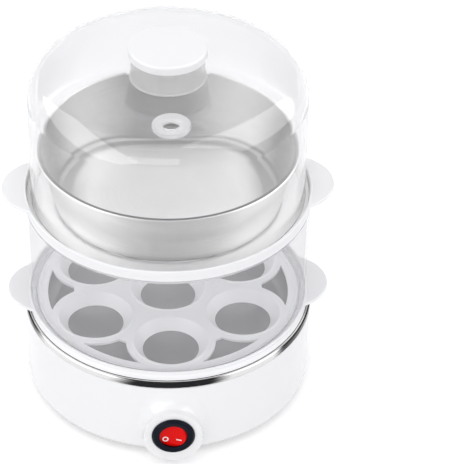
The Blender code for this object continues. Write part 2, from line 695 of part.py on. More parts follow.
def heating_dish():
    """Stainless water dish: floor, wall, shelf and a rim rolled down over the base, with welded studs."""
    band_bottom = BASE_SHOULDER + SEAT_GAP
    roll_centre = (DISH_RIM_RADIUS - DISH_ROLL, SHELF_TOP - DISH_ROLL)
    corner_z = DISH_FLOOR + (DISH_WALL_RADIUS - DISH_FLOOR_RADIUS) / 2
    wall_low = (DISH_WALL_RADIUS - DISH_ROLL, corner_z)
    profile = [(0.0, DISH_FLOOR), (DISH_FLOOR_RADIUS, DISH_FLOOR), wall_low]
    profile += [(DISH_WALL_RADIUS, SHELF_TOP - DISH_ROLL), (DISH_WALL_RADIUS + DISH_ROLL, SHELF_TOP)]
    profile += arc(roll_centre, DISH_ROLL, pi / 2, -pi / 2, CORNER_STEPS)
    profile += [(DISH_RIM_RADIUS, band_bottom), (DISH_RIM_RADIUS - SHEET, band_bottom)]
    profile += [(DISH_RIM_RADIUS - SHEET, SHELF_TOP - SHEET)]
    profile += [(DISH_WALL_RADIUS + DISH_ROLL + SHEET / 2, SHELF_TOP - SHEET)]
    profile += [(DISH_WALL_RADIUS + SHEET, SHELF_TOP - DISH_ROLL - SHEET / 2)]
    profile += [(wall_low[0] + SHEET, corner_z - SHEET / 2)]
    profile += [(DISH_FLOOR_RADIUS, DISH_UNDERSIDE), (0.0, DISH_UNDERSIDE)]
    dish = turned(profile)
    stud_root = DISH_UNDERSIDE + SHEET / 2
    for bearing in STUD_BEARINGS:
        x, y = polar(STUD_RING_RADIUS, bearing)
        join(dish, rod(STUD_RADIUS, DISH_UNDERSIDE - STUD_LENGTH, stud_root, (x, y, 0)))
    for side in (-1, 1):
        spot = (side * STRAP_REACH, 0, 0)
        join(dish, rod(STRAP_STUD_RADIUS, DISH_UNDERSIDE - STRAP_STUD_LENGTH, stud_root, spot))
    return publish(dish, "heating_dish", STAINLESS)


def nut(radius, bore, bottom, height, where):
    """A hexagon nut with a round bore."""
    blank = rod(radius, bottom, bottom + height, where, sides=HEX_SIDES)
    return cut(blank, rod(bore, bottom - OVERRUN, bottom + height + OVERRUN, where))


def nuts():
    """The dish nuts under the lugs, and the strap nuts under the strap."""
    lug_bottom = LUG_TOP - LUG_THICKNESS
    bottom = lug_bottom - SEAT_GAP - DISH_NUT_HEIGHT
    bore = STUD_RADIUS + FIT_GAP
    for number, bearing in enumerate(STUD_BEARINGS, 1):
        spot = (*polar(STUD_RING_RADIUS, bearing), 0)
        name = f"dish_nut_{number}"
        publish(nut(DISH_NUT_RADIUS, bore, bottom, DISH_NUT_HEIGHT, spot), name, ZINC_STEEL)
    bottom = strap_bottom() - SEAT_GAP - STRAP_NUT_HEIGHT
    bore = STRAP_STUD_RADIUS + FIT_GAP
    for side, name in ((-1, "strap_nut_left"), (1, "strap_nut_right")):
        spot = (side * STRAP_REACH, 0, 0)
        publish(nut(STRAP_NUT_RADIUS, bore, bottom, STRAP_NUT_HEIGHT, spot), name, ZINC_STEEL)


def strap_bottom():
    """Height of the strap's underside."""
    return DISH_UNDERSIDE - SEAT_GAP - THERMOSTAT_HEIGHT - SEAT_GAP - STRAP_THICKNESS


def element_leg_spots():
    """Flat places of the two legs of the heating ring, left and right."""
    return [polar(ELEMENT_RADIUS, pi / 2 + ELEMENT_GAP), polar(ELEMENT_RADIUS, pi / 2 - ELEMENT_GAP)]


def element_height():
    """Height of the heating ring's centre line."""
    return DISH_UNDERSIDE - SEAT_GAP - ELEMENT_TUBE


def pin_end_height():
    """Height of the lower ends of the heating ring's pins."""
    return element_height() - ELEMENT_LEG - PIN_LENGTH


def heating_element():
    """Tubular heating ring, open at the rear, with both ends turned down to thin pins."""
    height = element_height()
    start = pi / 2 + ELEMENT_GAP
    sweep = 2 * pi - 2 * ELEMENT_GAP
    inset = ELEMENT_BEND / ELEMENT_RADIUS
    flat = arc((0, 0), ELEMENT_RADIUS, start + inset, sweep - 2 * inset, ELEMENT_STEPS)
    ring = [Vector((x, y, height)) for x, y in flat]
    (left_x, left_y), (right_x, right_y) = element_leg_spots()

    def leg(x, y, neighbour):
        corner = Vector((x, y, height))
        down = corner - Vector((0, 0, ELEMENT_BEND))
        inner = (neighbour + down + 2 * corner) / 4
        collar = corner - Vector((0, 0, ELEMENT_LEG))
        neck = collar - Vector((0, 0, PIN_RADIUS))
        tip = collar - Vector((0, 0, PIN_LENGTH))
        return [inner, down, collar, neck, tip]

    left = leg(left_x, left_y, ring[0])
    right = leg(right_x, right_y, ring[-1])
    thin = PIN_RADIUS / ELEMENT_TUBE
    leg_shares = [1.0, 1.0, 1.0, thin, thin]
    points = left[::-1] + ring + right
    shares = leg_shares[::-1] + [1.0] * len(ring) + leg_shares
    return publish(tube(points, ELEMENT_TUBE, shares), "heating_element", HEATER_STEEL)


def blade_spots():
    """Flat places of the thermostat's two blades, left and right."""
    return [(-BLADE_SPACING / 2, 0), (BLADE_SPACING / 2, 0)]


def blade_end_height():
    """Height of the lower ends of the thermostat's blades."""
    return DISH_UNDERSIDE - SEAT_GAP - THERMOSTAT_HEIGHT - BLADE_LENGTH


def thermostat():
    """Disc thermostat with a metal cap against the dish and two blades down."""
    top = DISH_UNDERSIDE - SEAT_GAP
    bottom = top - THERMOSTAT_HEIGHT
    body = turned(
        [
            (0.0, top),
            (THERMOSTAT_RADIUS, top),
            (THERMOSTAT_RADIUS, top - THERMOSTAT_CAP),
            (THERMOSTAT_RADIUS - THERMOSTAT_STEP, top - THERMOSTAT_CAP),
            (THERMOSTAT_RADIUS - THERMOSTAT_STEP, bottom),
            (0.0, bottom),
        ],
        SEAT_SIDES,
    )
    half_thick, half_wide = BLADE_THICKNESS / 2, BLADE_WIDTH / 2
    for x, y in blade_spots():
        low = (x - half_thick, y - half_wide, bottom - BLADE_LENGTH)
        high = (x + half_thick, y + half_wide, bottom + SINK)
        join(body, box(low, high))
    return publish(body, "thermostat", CERAMIC)


def thermostat_strap():
    """Sprung strap: a ring under the thermostat and an eye at each end on a stud."""
    bottom = strap_bottom()
    top = bottom + STRAP_THICKNESS
    lean = asin((STRAP_RING_RADIUS - STRAP_END_RADIUS) / STRAP_REACH)
    outline = []
    for side, centre, radius, spread in (
        (0.0, (STRAP_REACH, 0), STRAP_END_RADIUS, pi / 2 - lean),
        (pi / 2, (0, 0), STRAP_RING_RADIUS, lean),
        (pi, (-STRAP_REACH, 0), STRAP_END_RADIUS, pi / 2 - lean),
        (-pi / 2, (0, 0), STRAP_RING_RADIUS, lean),
    ):
        outline += arc(centre, radius, side - spread, 2 * spread, EDGE_STEPS)
    eyes = [circle(STRAP_STUD_RADIUS + FIT_GAP, PIN_SIDES, (s * STRAP_REACH, 0)) for s in (-1, 1)]
    holes = [circle(STRAP_EYE_RADIUS, SEAT_SIDES), *eyes]
    return publish(plate([outline, *holes], bottom, top), "thermostat_strap", ZINC_STEEL)


def thermal_fuse():
    """One-shot fuse that lies against the dish, with a wire at each end."""
    height = DISH_UNDERSIDE - SEAT_GAP - FUSE_RADIUS
    spot = (FUSE_OFFSET, 0, height)
    body = rod(FUSE_RADIUS, -FUSE_LENGTH / 2, FUSE_LENGTH / 2, spot, REAR)
    wire_end = FUSE_LENGTH / 2 + FUSE_WIRE_LENGTH
    join(body, rod(FUSE_WIRE, -wire_end, wire_end, spot, REAR, HEX_SIDES))
    return publish(body, "thermal_fuse", ZINC_STEEL)


def switch_body():
    """Round switch housing: domed bezel, barrel through the panel and bores for the rocker's pins."""
    panel = BOSS_REACH + SEAT_GAP
    crest = panel + BEZEL_RISE
    inner = BARREL_RADIUS - BARREL_WALL
    back = BOSS_REACH - BARREL_DEPTH
    body = turned(
        [
            (0.0, back + BARREL_WALL),
            (inner, back + BARREL_WALL),
            (inner, BOSS_REACH),
            (BEZEL_MOUTH_RADIUS, crest - BEZEL_MOUTH_DROP),
            (BEZEL_CREST_RADIUS - BEZEL_MOUTH_DROP, crest),
            (BEZEL_CREST_RADIUS, crest),
            (BEZEL_RADIUS, panel + BEZEL_RISE / 2),
            (BEZEL_RADIUS, panel),
            (BARREL_RADIUS, panel),
            (BARREL_RADIUS, back),
            (0.0, back),
        ],
        CAP_SIDES,
        (0, 0, SWITCH_HEIGHT),
        FRONT,
    )
    reach = BARREL_RADIUS + OVERRUN
    cut(body, rod(PIVOT_RADIUS + FIT_GAP, -reach, reach, (0, -PIVOT_REACH, SWITCH_HEIGHT)))
    return publish(body, "switch_body", BLACK_PLASTIC)


def switch_rocker():
    """Round rocker: a ball slice with a dished face, a lever behind and pivot pins above and below."""
    half_face = sqrt(ROCKER_BALL_RADIUS**2 - ROCKER_FACE**2)
    back_radius = sqrt(ROCKER_BALL_RADIUS**2 - ROCKER_BACK**2)
    start = atan2(ROCKER_FACE, half_face)
    end = -atan2(ROCKER_BACK, back_radius)
    profile = [(0.0, ROCKER_FACE)]
    profile += arc((0, 0), ROCKER_BALL_RADIUS, start, end - start, EDGE_STEPS)
    lever_end = -ROCKER_BACK - ROCKER_LEVER_LENGTH
    profile += [(ROCKER_LEVER_ROOT, -ROCKER_BACK), (ROCKER_LEVER_TIP, lever_end), (0.0, lever_end)]
    rocker = turned(profile, CAP_SIDES)
    pin_end = BARREL_RADIUS - PIVOT_INSET
    join(rocker, rod(PIVOT_RADIUS, -pin_end, pin_end, turn=REAR))
    dish_axis = sqrt(ROCKER_DISH_RADIUS**2 - half_face**2) + ROCKER_FACE
    dish_place = (0, 0, dish_axis)
    cut(rocker, rod(ROCKER_DISH_RADIUS, -BEZEL_RADIUS, BEZEL_RADIUS, dish_place, REAR, 2 * BIG_SIDES))
    part = publish(rocker, "switch_rocker", RED_PLASTIC)
    part.location = (0, -PIVOT_REACH, SWITCH_HEIGHT)
    part.rotation_euler = (pi / 2, 0, -ROCKER_TILT)
    return part


def terminal_spots():
    """Sideways places of the switch's two blades, left and right."""
    return [-TERMINAL_SPACING / 2, TERMINAL_SPACING / 2]


def terminal_end_reach():
    """Distance from the axis to the inner ends of the switch's blades."""
    return BOSS_REACH - BARREL_DEPTH - SEAT_GAP - BLADE_LENGTH


def switch_terminals():
    """The two blades behind the switch."""
    outer = BOSS_REACH - BARREL_DEPTH - SEAT_GAP
    half_thick, half_wide = BLADE_THICKNESS / 2, BLADE_WIDTH / 2
    for x, name in zip(terminal_spots(), ("switch_terminal_left", "switch_terminal_right")):
        low = (x - half_thick, -outer, SWITCH_HEIGHT - half_wide)
        high = (x + half_thick, -terminal_end_reach(), SWITCH_HEIGHT + half_wide)
        publish(box(low, high), name, BRASS)


def cord_gland():
    """Snap-in bushing for the mains cord, through the rear wall."""
    flange_start = CORD_BOSS_REACH + SEAT_GAP
    flange_end = flange_start + GLAND_FLANGE
    barb_start = BASE_INNER_RADIUS - SINK - SEAT_GAP
    gland = turned(
        [
            (GLAND_BORE, GLAND_REACH),
            (GLAND_TIP_RADIUS, GLAND_REACH),
            (GLAND_NOZZLE_RADIUS, flange_end),
            (GLAND_FLANGE_RADIUS, flange_end),
            (GLAND_FLANGE_RADIUS, flange_start),
            (GLAND_NECK_RADIUS, flange_start),
            (GLAND_NECK_RADIUS, barb_start),
            (GLAND_BARB_RADIUS, barb_start),
            (GLAND_NECK_RADIUS, barb_start - GLAND_BARB_LENGTH),
            (GLAND_BORE, barb_start - GLAND_BARB_LENGTH),
        ],
        SMALL_SIDES,
        (0, 0, CORD_HEIGHT),
        REAR,
        closed=True,
    )
    return publish(gland, "cord_gland", WHITE_PLASTIC)


def terminal_block():
    """Two-pole block on the cover, in front of the gland, with a bore for each pole."""
    bottom = COVER_TOP + SEAT_GAP
    half_wide, half_deep = BLOCK_WIDTH / 2, BLOCK_DEPTH / 2
    low = (-half_wide, BLOCK_PLACE - half_deep, bottom)
    block = box(low, (half_wide, BLOCK_PLACE + half_deep, bottom + BLOCK_HEIGHT))
    for side in (-1, 1):
        spot = (side * BLOCK_POLE_SPACING / 2, BLOCK_PLACE, bottom + BLOCK_HEIGHT / 2)
        cut(block, rod(BLOCK_BORE, -BLOCK_DEPTH, BLOCK_DEPTH, spot, REAR))
    return publish(block, "terminal_block", CERAMIC)


def inner_leads():
    """The wires between block, switch, thermostat, fuse and heating ring."""
    pole_z = COVER_TOP + SEAT_GAP + BLOCK_HEIGHT / 2
    pole_y = BLOCK_PLACE - BLOCK_DEPTH / 2
    step_out = pole_y - LEAD_SPACING
    low = LEAD_LOW_HEIGHT
    run = [(*polar(LEAD_RUN_RADIUS, pi / 2 + i * pi / 8), LEAD_RUN_HEIGHT) for i in range(2, 8)]
    blade_reach = terminal_end_reach() - SEAT_GAP
    left, right = terminal_spots()
    under_blade = blade_end_height() - SEAT_GAP
    pin_z = pin_end_height() - SEAT_GAP
    (pin_left_x, pin_left_y), (pin_right_x, pin_right_y) = element_leg_spots()
    (blade_left, _), (blade_right, _) = blade_spots()
    pole = BLOCK_POLE_SPACING / 2
    fuse_z = DISH_UNDERSIDE - SEAT_GAP - FUSE_RADIUS
    fuse_end = FUSE_LENGTH / 2 + FUSE_WIRE_LENGTH + SEAT_GAP
    live = [(-pole, pole_y - SEAT_GAP, pole_z), (-pole, step_out, pole_z), (-FUSE_OFFSET, pole_y, low)]
    live += run
    live += [(left, -blade_reach + LEAD_SPACING, SWITCH_HEIGHT), (left, -blade_reach, SWITCH_HEIGHT)]
    switched = [
        (right, -blade_reach, SWITCH_HEIGHT),
        (right, -blade_reach + LEAD_SPACING, SWITCH_HEIGHT),
        (right + LEAD_SPACING, -ELEMENT_RADIUS, low),
        (right + LEAD_SPACING, -LEAD_PASS, low),
        (blade_right, 0, low + LEAD_SPACING),
        (blade_right, 0, under_blade),
    ]
    heater = [
        (blade_left, 0, under_blade),
        (blade_left, 0, low + LEAD_SPACING),
        (pin_left_x, LEAD_PASS, low - LEAD_SPACING),
        (pin_left_x, pin_left_y, low - LEAD_SPACING),
        (pin_left_x, pin_left_y, pin_z),
    ]
    neutral = [
        (pole, pole_y - SEAT_GAP, pole_z),
        (pole, step_out, pole_z),
        (pin_right_x + LEAD_CLEARANCE, pin_right_y, low),
        (FUSE_OFFSET, fuse_end + 2 * LEAD_SPACING, fuse_z - 2 * LEAD_SPACING),
        (FUSE_OFFSET, fuse_end + LEAD_SPACING / 2, fuse_z - LEAD_SAG),
        (FUSE_OFFSET, fuse_end, fuse_z),
    ]
    fused = [
        (FUSE_OFFSET, -fuse_end, fuse_z),
        (FUSE_OFFSET, -fuse_end - LEAD_SPACING / 2, fuse_z - LEAD_SAG),
        (FUSE_OFFSET, -fuse_end - LEAD_SPACING / 2, fuse_z - 2 * LEAD_SPACING),
        (FUSE_OFFSET - LEAD_INSET, LEAD_PASS, low),
        (pin_right_x, pin_right_y - LEAD_SPACING, low - LEAD_SPACING),
        (pin_right_x, pin_right_y, pin_z - LEAD_SPACING),
        (pin_right_x, pin_right_y, pin_z),
    ]
    for name, spots, finish in (
        ("lead_live", live, BROWN_LEAD),
        ("lead_switched", switched, BROWN_LEAD),
        ("lead_heater", heater, BROWN_LEAD),
        ("lead_neutral", neutral, BLUE_LEAD),
        ("lead_fused", fused, BLUE_LEAD),
    ):
        publish(tube(smooth_route(spots, LEAD_STEPS), LEAD_RADIUS), name, finish)


def seat_centres():
    """Centres of the egg seats: one in the middle and the others round it, one of them at the front."""
    ring = [polar(SEAT_PITCH, -pi / 2 + 2 * pi * i / SEATS_AROUND) for i in range(SEATS_AROUND)]
    return [(0.0, 0.0)] + ring


def window_outline(bearing):
    """A steam window between two outer seats: hollow sides round the seats, an outer arc, round corners."""
    web = SEAT_RADIUS + SEAT_MARGIN
    corner = WINDOW_CORNER_RADIUS
    outer = WINDOW_OUTER_RADIUS - corner
    half_step = pi / SEATS_AROUND
    seat = Vector((SEAT_PITCH * cos(half_step), SEAT_PITCH * sin(half_step)))
    inner_x = seat.x + sqrt((web + corner) ** 2 - seat.y**2)
    reach = (outer**2 + SEAT_PITCH**2 - (web + corner) ** 2) / (2 * outer * SEAT_PITCH)
    spread = half_step - acos(reach)
    tip = Vector((inner_x, 0.0))
    horn = Vector(polar(outer, spread))
    tip_turn = atan2(seat.y, seat.x - tip.x)
    horn_turn = atan2(seat.y - horn.y, seat.x - horn.x)
    side_start = atan2(horn.y - seat.y, horn.x - seat.x)
    side_end = atan2(tip.y - seat.y, tip.x - seat.x)
    half = arc(horn, corner, spread, horn_turn - spread, CORNER_STEPS)
    half += arc(seat, web, side_start, side_end - side_start, WINDOW_SIDE_STEPS)[1:-1]
    half += arc(tip, corner, tip_turn, pi - tip_turn, CORNER_STEPS)
    mirrored = [(x, -y) for x, y in half[::-1]][1:]
    rim = arc((0, 0), WINDOW_OUTER_RADIUS, -spread, 2 * spread, CORNER_STEPS)[1:-1]
    c, s = cos(bearing), sin(bearing)
    return [(x * c - y * s, x * s + y * c) for x, y in half + mirrored + rim]


def tab_outline(root_radius, reach, half_width, side):
    """A finger tab: a round lobe outside, and an arc inside that follows the rim."""
    half_turn = asin(half_width / root_radius)
    chord = root_radius * cos(half_turn)
    rise = reach - chord
    lobe = (half_width**2 + rise**2) / (2 * rise)
    lobe_turn = atan2(half_width, chord - reach + lobe)
    points = arc((reach - lobe, 0), lobe, -lobe_turn, 2 * lobe_turn, TAB_STEPS)
    points += arc((0, 0), root_radius, half_turn, -2 * half_turn, EDGE_STEPS)[1:-1]
    return [(side * x, side * y) for x, y in points]


def egg_tray(rim, floor_top, floor_radius):
    """Joins a tray's floor and funnel seats to its turned rim."""
    floor_bottom = floor_top - TRAY_FLOOR
    seat_slope = (SEAT_RADIUS - SEAT_MOUTH_RADIUS) / SEAT_DEPTH
    seat_hole = SEAT_RADIUS + SEAT_WALL / 2 - seat_slope * (SEAT_LIP + TRAY_FLOOR / 2)
    outlines = [circle(floor_radius, BIG_SIDES)]
    outlines += [circle(seat_hole, SEAT_SIDES, centre) for centre in seat_centres()]
    outlines += [window_outline(2 * pi * i / SEATS_AROUND) for i in range(SEATS_AROUND)]
    join(rim, plate(outlines, floor_bottom, floor_top))
    lip_top = floor_top + SEAT_LIP
    funnel_bottom = lip_top - SEAT_DEPTH
    profile = [
        (SEAT_RADIUS, lip_top),
        (SEAT_RADIUS + SEAT_WALL, lip_top),
        (SEAT_MOUTH_RADIUS + SEAT_WALL, funnel_bottom),
        (SEAT_MOUTH_RADIUS, funnel_bottom),
    ]
    join(rim, *[turned(profile, SEAT_SIDES, (x, y, 0), closed=True) for x, y in seat_centres()])
    return rim


def finger_tabs(tray, rim_radius, top, reach, half_width):
    """Joins a finger tab to each side of a tray's rim."""
    for side in (-1, 1):
        outline = tab_outline(rim_radius - TRAY_WALL / 2, reach, half_width, side)
        join(tray, plate([outline], top - TAB_THICKNESS, top))


def lower_tray():
    """Egg tray on the dish: its ring lip drops into the dish, its bead holds the steam ring."""
    rim_top = LOWER_TRAY_BOTTOM + LOWER_RIM_HEIGHT
    rim_inner = LOWER_RIM_RADIUS - TRAY_WALL
    rim = turned(
        [
            (rim_inner, rim_top),
            (LOWER_RIM_RADIUS, rim_top),
            (LOWER_RIM_RADIUS, LOWER_TRAY_BOTTOM),
            (rim_inner, LOWER_TRAY_BOTTOM),
        ],
        closed=True,
    )
    bead_outer = RING_FOOT_RADIUS - RING_WALL - FIT_GAP
    bead_inner = bead_outer - TRAY_WALL
    bead_top = LOWER_FLOOR_TOP + LOWER_BEAD_HEIGHT
    bead_bottom = LOWER_TRAY_BOTTOM - LOWER_LIP_DROP
    bead = [(bead_inner, bead_top), (bead_outer, bead_top)]
    bead += [(bead_outer, bead_bottom), (bead_inner, bead_bottom)]
    floor_radius = LOWER_RIM_RADIUS - TRAY_WALL / 2
    tray = egg_tray(rim, LOWER_FLOOR_TOP, floor_radius)
    finger_tabs(tray, LOWER_RIM_RADIUS, rim_top - LEDGE, LOWER_TAB_REACH, LOWER_TAB_HALF_WIDTH)
    join(tray, turned(bead, closed=True))
    return publish(tray, "lower_tray", TRAY_PLASTIC)


def steam_ring():
    """Frosted wall between the tiers, flared out above its foot."""
    outer = [(RING_TOP_RADIUS, RING_TOP)]
    for i in range(EDGE_STEPS + 1):
        share = 1 - i / EDGE_STEPS
        radius = RING_FOOT_RADIUS + RING_FLARE * sin(share * pi / 2)
        outer.append((radius, RING_BOTTOM + RING_FLARE_HEIGHT * share))
    inner = [(r - RING_WALL, z) for r, z in outer[::-1]]
    return publish(turned(outer + inner, closed=True), "steam_ring", FROSTED_PLASTIC)


def upper_tray():
    """Egg tray on the steam ring: a web over the ring's edge, a rim round the lid and a sunk floor."""
    rim_top = UPPER_TRAY_BOTTOM + UPPER_RIM_HEIGHT
    rim_inner = UPPER_RIM_RADIUS - TRAY_WALL
    web_top = UPPER_TRAY_BOTTOM + TRAY_WALL
    lip_outer = RING_TOP_RADIUS - RING_WALL - FIT_GAP - LEDGE
    lip_inner = lip_outer - TRAY_WALL
    lip_bottom = UPPER_FLOOR_TOP - TRAY_FLOOR - LEDGE
    rim = turned(
        [
            (rim_inner, rim_top),
            (UPPER_RIM_RADIUS, rim_top),
            (UPPER_RIM_RADIUS, UPPER_TRAY_BOTTOM),
            (lip_outer, UPPER_TRAY_BOTTOM),
            (lip_outer, lip_bottom),
            (lip_inner, lip_bottom),
            (lip_inner, web_top),
            (rim_inner, web_top),
        ],
        closed=True,
    )
    tray = egg_tray(rim, UPPER_FLOOR_TOP, lip_outer - TRAY_WALL / 2)
    finger_tabs(tray, UPPER_RIM_RADIUS, rim_top - LEDGE, UPPER_TAB_REACH, UPPER_TAB_HALF_WIDTH)
    return publish(tray, "upper_tray", TRAY_PLASTIC)


def steam_bowl():
    """Stainless bowl with a slightly tapered wall, a round foot corner and a rolled flat rim."""
    top = BOWL_BOTTOM + BOWL_HEIGHT
    wall_top = BOWL_RIM_RADIUS - BOWL_RIM_WIDTH
    corner = (BOWL_FOOT_RADIUS - BOWL_CORNER_RADIUS, BOWL_BOTTOM + BOWL_CORNER_RADIUS)
    inside = [(0.0, BOWL_BOTTOM + SHEET)]
    inside += arc(corner, BOWL_CORNER_RADIUS - SHEET, -pi / 2, pi / 2, EDGE_STEPS)
    inside += [(wall_top, top)]
    outside = [(BOWL_RIM_RADIUS, top), (BOWL_RIM_RADIUS, top - BOWL_RIM_THICKNESS)]
    outside += [(wall_top + SHEET, top - BOWL_RIM_THICKNESS)]
    outside += arc(corner, BOWL_CORNER_RADIUS, 0.0, -pi / 2, EDGE_STEPS)
    outside += [(0.0, BOWL_BOTTOM)]
    return publish(turned(inside + outside), "steam_bowl", STAINLESS)


def lid_dome():
    """Clear lid: foot flange, wall, shoulder, dipped crown, hollow grip and a countersunk vent."""
    shoulder_z = LID_CREST - LID_SHOULDER_RADIUS
    shoulder = (LID_RADIUS - LID_SHOULDER_RADIUS, shoulder_z)
    fillet = GRIP_WALL
    mid_radius = (shoulder[0] + GRIP_RADIUS) / 2
    mid_z = (LID_CREST + LID_FLOOR) / 2 + LID_CROWN
    foot_top = LID_BOTTOM + LID_FOOT_HEIGHT
    inner_radius = LID_RADIUS - LID_WALL
    profile = [(LID_SCREW_HOLE, LID_FLOOR), (GRIP_RADIUS - GRIP_WALL, LID_FLOOR)]
    profile += [(GRIP_RADIUS - GRIP_WALL, GRIP_TOP), (GRIP_RADIUS, GRIP_TOP)]
    profile += [(GRIP_RADIUS, LID_FLOOR + fillet), (GRIP_RADIUS + fillet, LID_FLOOR + LEDGE)]
    profile += [(mid_radius, mid_z)]
    profile += arc(shoulder, LID_SHOULDER_RADIUS, pi / 2, -pi / 2, SHOULDER_STEPS)
    profile += [(LID_RADIUS, foot_top), (LID_RADIUS + LID_FOOT_WIDTH, foot_top)]
    profile += [(LID_RADIUS + LID_FOOT_WIDTH, LID_BOTTOM), (inner_radius, LID_BOTTOM)]
    profile += arc(shoulder, LID_SHOULDER_RADIUS - LID_WALL, 0.0, pi / 2, SHOULDER_STEPS)
    profile += [(mid_radius, mid_z - LID_WALL), (GRIP_RADIUS, LID_FLOOR - LID_WALL)]
    profile += [(LID_SCREW_HOLE, LID_FLOOR - LID_WALL)]
    lid = turned(profile, closed=True)
    top = LID_CREST + VENT_BOSS_RISE
    vent = (0, -VENT_PLACE, 0)
    join(lid, rod(VENT_BOSS_RADIUS, top - VENT_BOSS_HEIGHT, top, vent, sides=SEAT_SIDES))
    sink_bottom = top - VENT_SINK_DEPTH
    rise = VENT_SINK_DEPTH + LEDGE
    slope = (VENT_MOUTH_RADIUS - VENT_HOLE_RADIUS) / VENT_SINK_DEPTH
    mouth = VENT_HOLE_RADIUS + slope * rise
    sink_top = sink_bottom + rise
    cut(lid, rod(VENT_HOLE_RADIUS, sink_bottom, sink_top, vent, sides=SEAT_SIDES, tip_radius=mouth))
    hole_bottom, hole_top = top - VENT_BOSS_HEIGHT - OVERRUN, sink_bottom + LEDGE
    cut(lid, rod(VENT_HOLE_RADIUS, hole_bottom, hole_top, vent, sides=SEAT_SIDES))
    return publish(lid, "lid_dome", CLEAR_PLASTIC)


def knob_cap(lid):
    """White cap on the grip: crowned top, round edge, locating lip and a screw stem."""
    top = CAP_BOTTOM + CAP_HEIGHT
    ceiling = top - CAP_WALL - CAP_CROWN
    lip_outer = GRIP_RADIUS - GRIP_WALL - FIT_GAP
    lip_inner = lip_outer - CAP_WALL
    lip_bottom = CAP_BOTTOM - CAP_LIP
    stem_bottom = LID_FLOOR + SEAT_GAP
    bore = KNOB_SCREW_RADIUS + FIT_GAP
    bore_top = stem_bottom + KNOB_SCREW_BITE + SEAT_GAP
    edge = (CAP_RADIUS - CAP_EDGE_RADIUS, top - CAP_CROWN - CAP_EDGE_RADIUS)
    profile = [(0.0, top), (edge[0] / 2, top - CAP_CROWN * CAP_CROWN_SHARE)]
    profile += arc(edge, CAP_EDGE_RADIUS, pi / 2, -pi / 2, EDGE_STEPS)
    profile += [(CAP_RADIUS, CAP_BOTTOM), (lip_outer, CAP_BOTTOM), (lip_outer, lip_bottom)]
    profile += [(lip_inner, lip_bottom), (lip_inner, ceiling)]
    profile += [(STEM_RADIUS, ceiling), (STEM_RADIUS, stem_bottom)]
    profile += [(bore, stem_bottom), (bore, bore_top), (0.0, bore_top)]
    return publish(turned(profile, CAP_SIDES), "knob_cap", WHITE_PLASTIC, lid)


def knob_fastening(lid):
    """The screw that pulls the cap down, and its washer under the crown of the lid."""
    washer_top = LID_FLOOR - LID_WALL - SEAT_GAP
    washer_bottom = washer_top - WASHER_THICKNESS
    hole = KNOB_SCREW_RADIUS + FIT_GAP
    washer = [(hole, washer_top), (WASHER_RADIUS, washer_top)]
    washer += [(WASHER_RADIUS, washer_bottom), (hole, washer_bottom)]
    publish(turned(washer, SMALL_SIDES, closed=True), "knob_washer", RUBBER, lid)
    head_top = washer_bottom - SEAT_GAP
    tip = LID_FLOOR + SEAT_GAP + KNOB_SCREW_BITE
    screw = turned(
        [
            (0.0, tip),
            (KNOB_SCREW_RADIUS, tip - KNOB_SCREW_RADIUS),
            (KNOB_SCREW_RADIUS, head_top),
            (KNOB_SCREW_HEAD_RADIUS, head_top),
            (KNOB_SCREW_HEAD_RADIUS, head_top - KNOB_SCREW_HEAD / 2),
            (KNOB_SCREW_HEAD_RADIUS - KNOB_SCREW_HEAD / 2, head_top - KNOB_SCREW_HEAD),
            (0.0, head_top - KNOB_SCREW_HEAD),
        ],
        SMALL_SIDES,
    )
    publish(screw, "knob_screw", STAINLESS, lid)


def main():
    clear_scene()
    base_housing()
    bottom_cover()
    feet()
    cover_screws()
    heating_dish()
    nuts()
    heating_element()
    thermostat()
    thermostat_strap()
    thermal_fuse()
    switch_body()
    switch_rocker()
    switch_terminals()
    cord_gland()
    terminal_block()
    inner_leads()
    lower_tray()
    steam_ring()
    upper_tray()
    steam_bowl()
    lid = lid_dome()
    knob_cap(lid)
    knob_fastening(lid)


main()
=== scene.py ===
"""Looks of the two-tier egg cooker: pieces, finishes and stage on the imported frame."""
import json
from functools import cached_property
from math import asin, ceil, cos, degrees, hypot, pi, radians, sin, sqrt, tan

import bmesh
import bpy
from bpy.props import FloatProperty, FloatVectorProperty, IntProperty, PointerProperty
from mathutils import Matrix, Vector


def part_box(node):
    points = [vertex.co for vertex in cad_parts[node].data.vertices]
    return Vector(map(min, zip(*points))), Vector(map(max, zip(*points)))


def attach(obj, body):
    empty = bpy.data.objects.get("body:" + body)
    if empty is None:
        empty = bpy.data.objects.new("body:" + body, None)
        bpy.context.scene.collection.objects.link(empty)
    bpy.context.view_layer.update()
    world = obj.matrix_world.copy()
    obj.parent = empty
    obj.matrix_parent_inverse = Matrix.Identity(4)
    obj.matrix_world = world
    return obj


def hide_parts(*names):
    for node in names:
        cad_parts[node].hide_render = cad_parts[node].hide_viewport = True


bl_info = {
    "name": "Egg cooker",
    "version": (1, 0, 0),
    "blender": (4, 5, 0),
    "location": "View3D > Sidebar > Egg cooker",
    "description": "Builds the shells, trays, bowl, lid and switch of a two-tier egg cooker",
    "category": "Mesh",
}

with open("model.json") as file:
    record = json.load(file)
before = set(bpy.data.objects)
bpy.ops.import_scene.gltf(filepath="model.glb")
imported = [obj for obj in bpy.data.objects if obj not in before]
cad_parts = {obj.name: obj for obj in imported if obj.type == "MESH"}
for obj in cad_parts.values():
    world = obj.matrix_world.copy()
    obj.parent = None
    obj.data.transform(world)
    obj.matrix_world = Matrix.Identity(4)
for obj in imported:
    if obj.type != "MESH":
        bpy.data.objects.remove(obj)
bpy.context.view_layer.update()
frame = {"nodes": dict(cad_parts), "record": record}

MM = 0.001
NEAR = 2e-6  # how near to a place a point counts as on it, in metres
SMOOTH_BELOW = radians(32)  # an edge that bends more than this stays sharp
STEP_TURN = 16  # degrees that one step of a 1 mm rounding turns

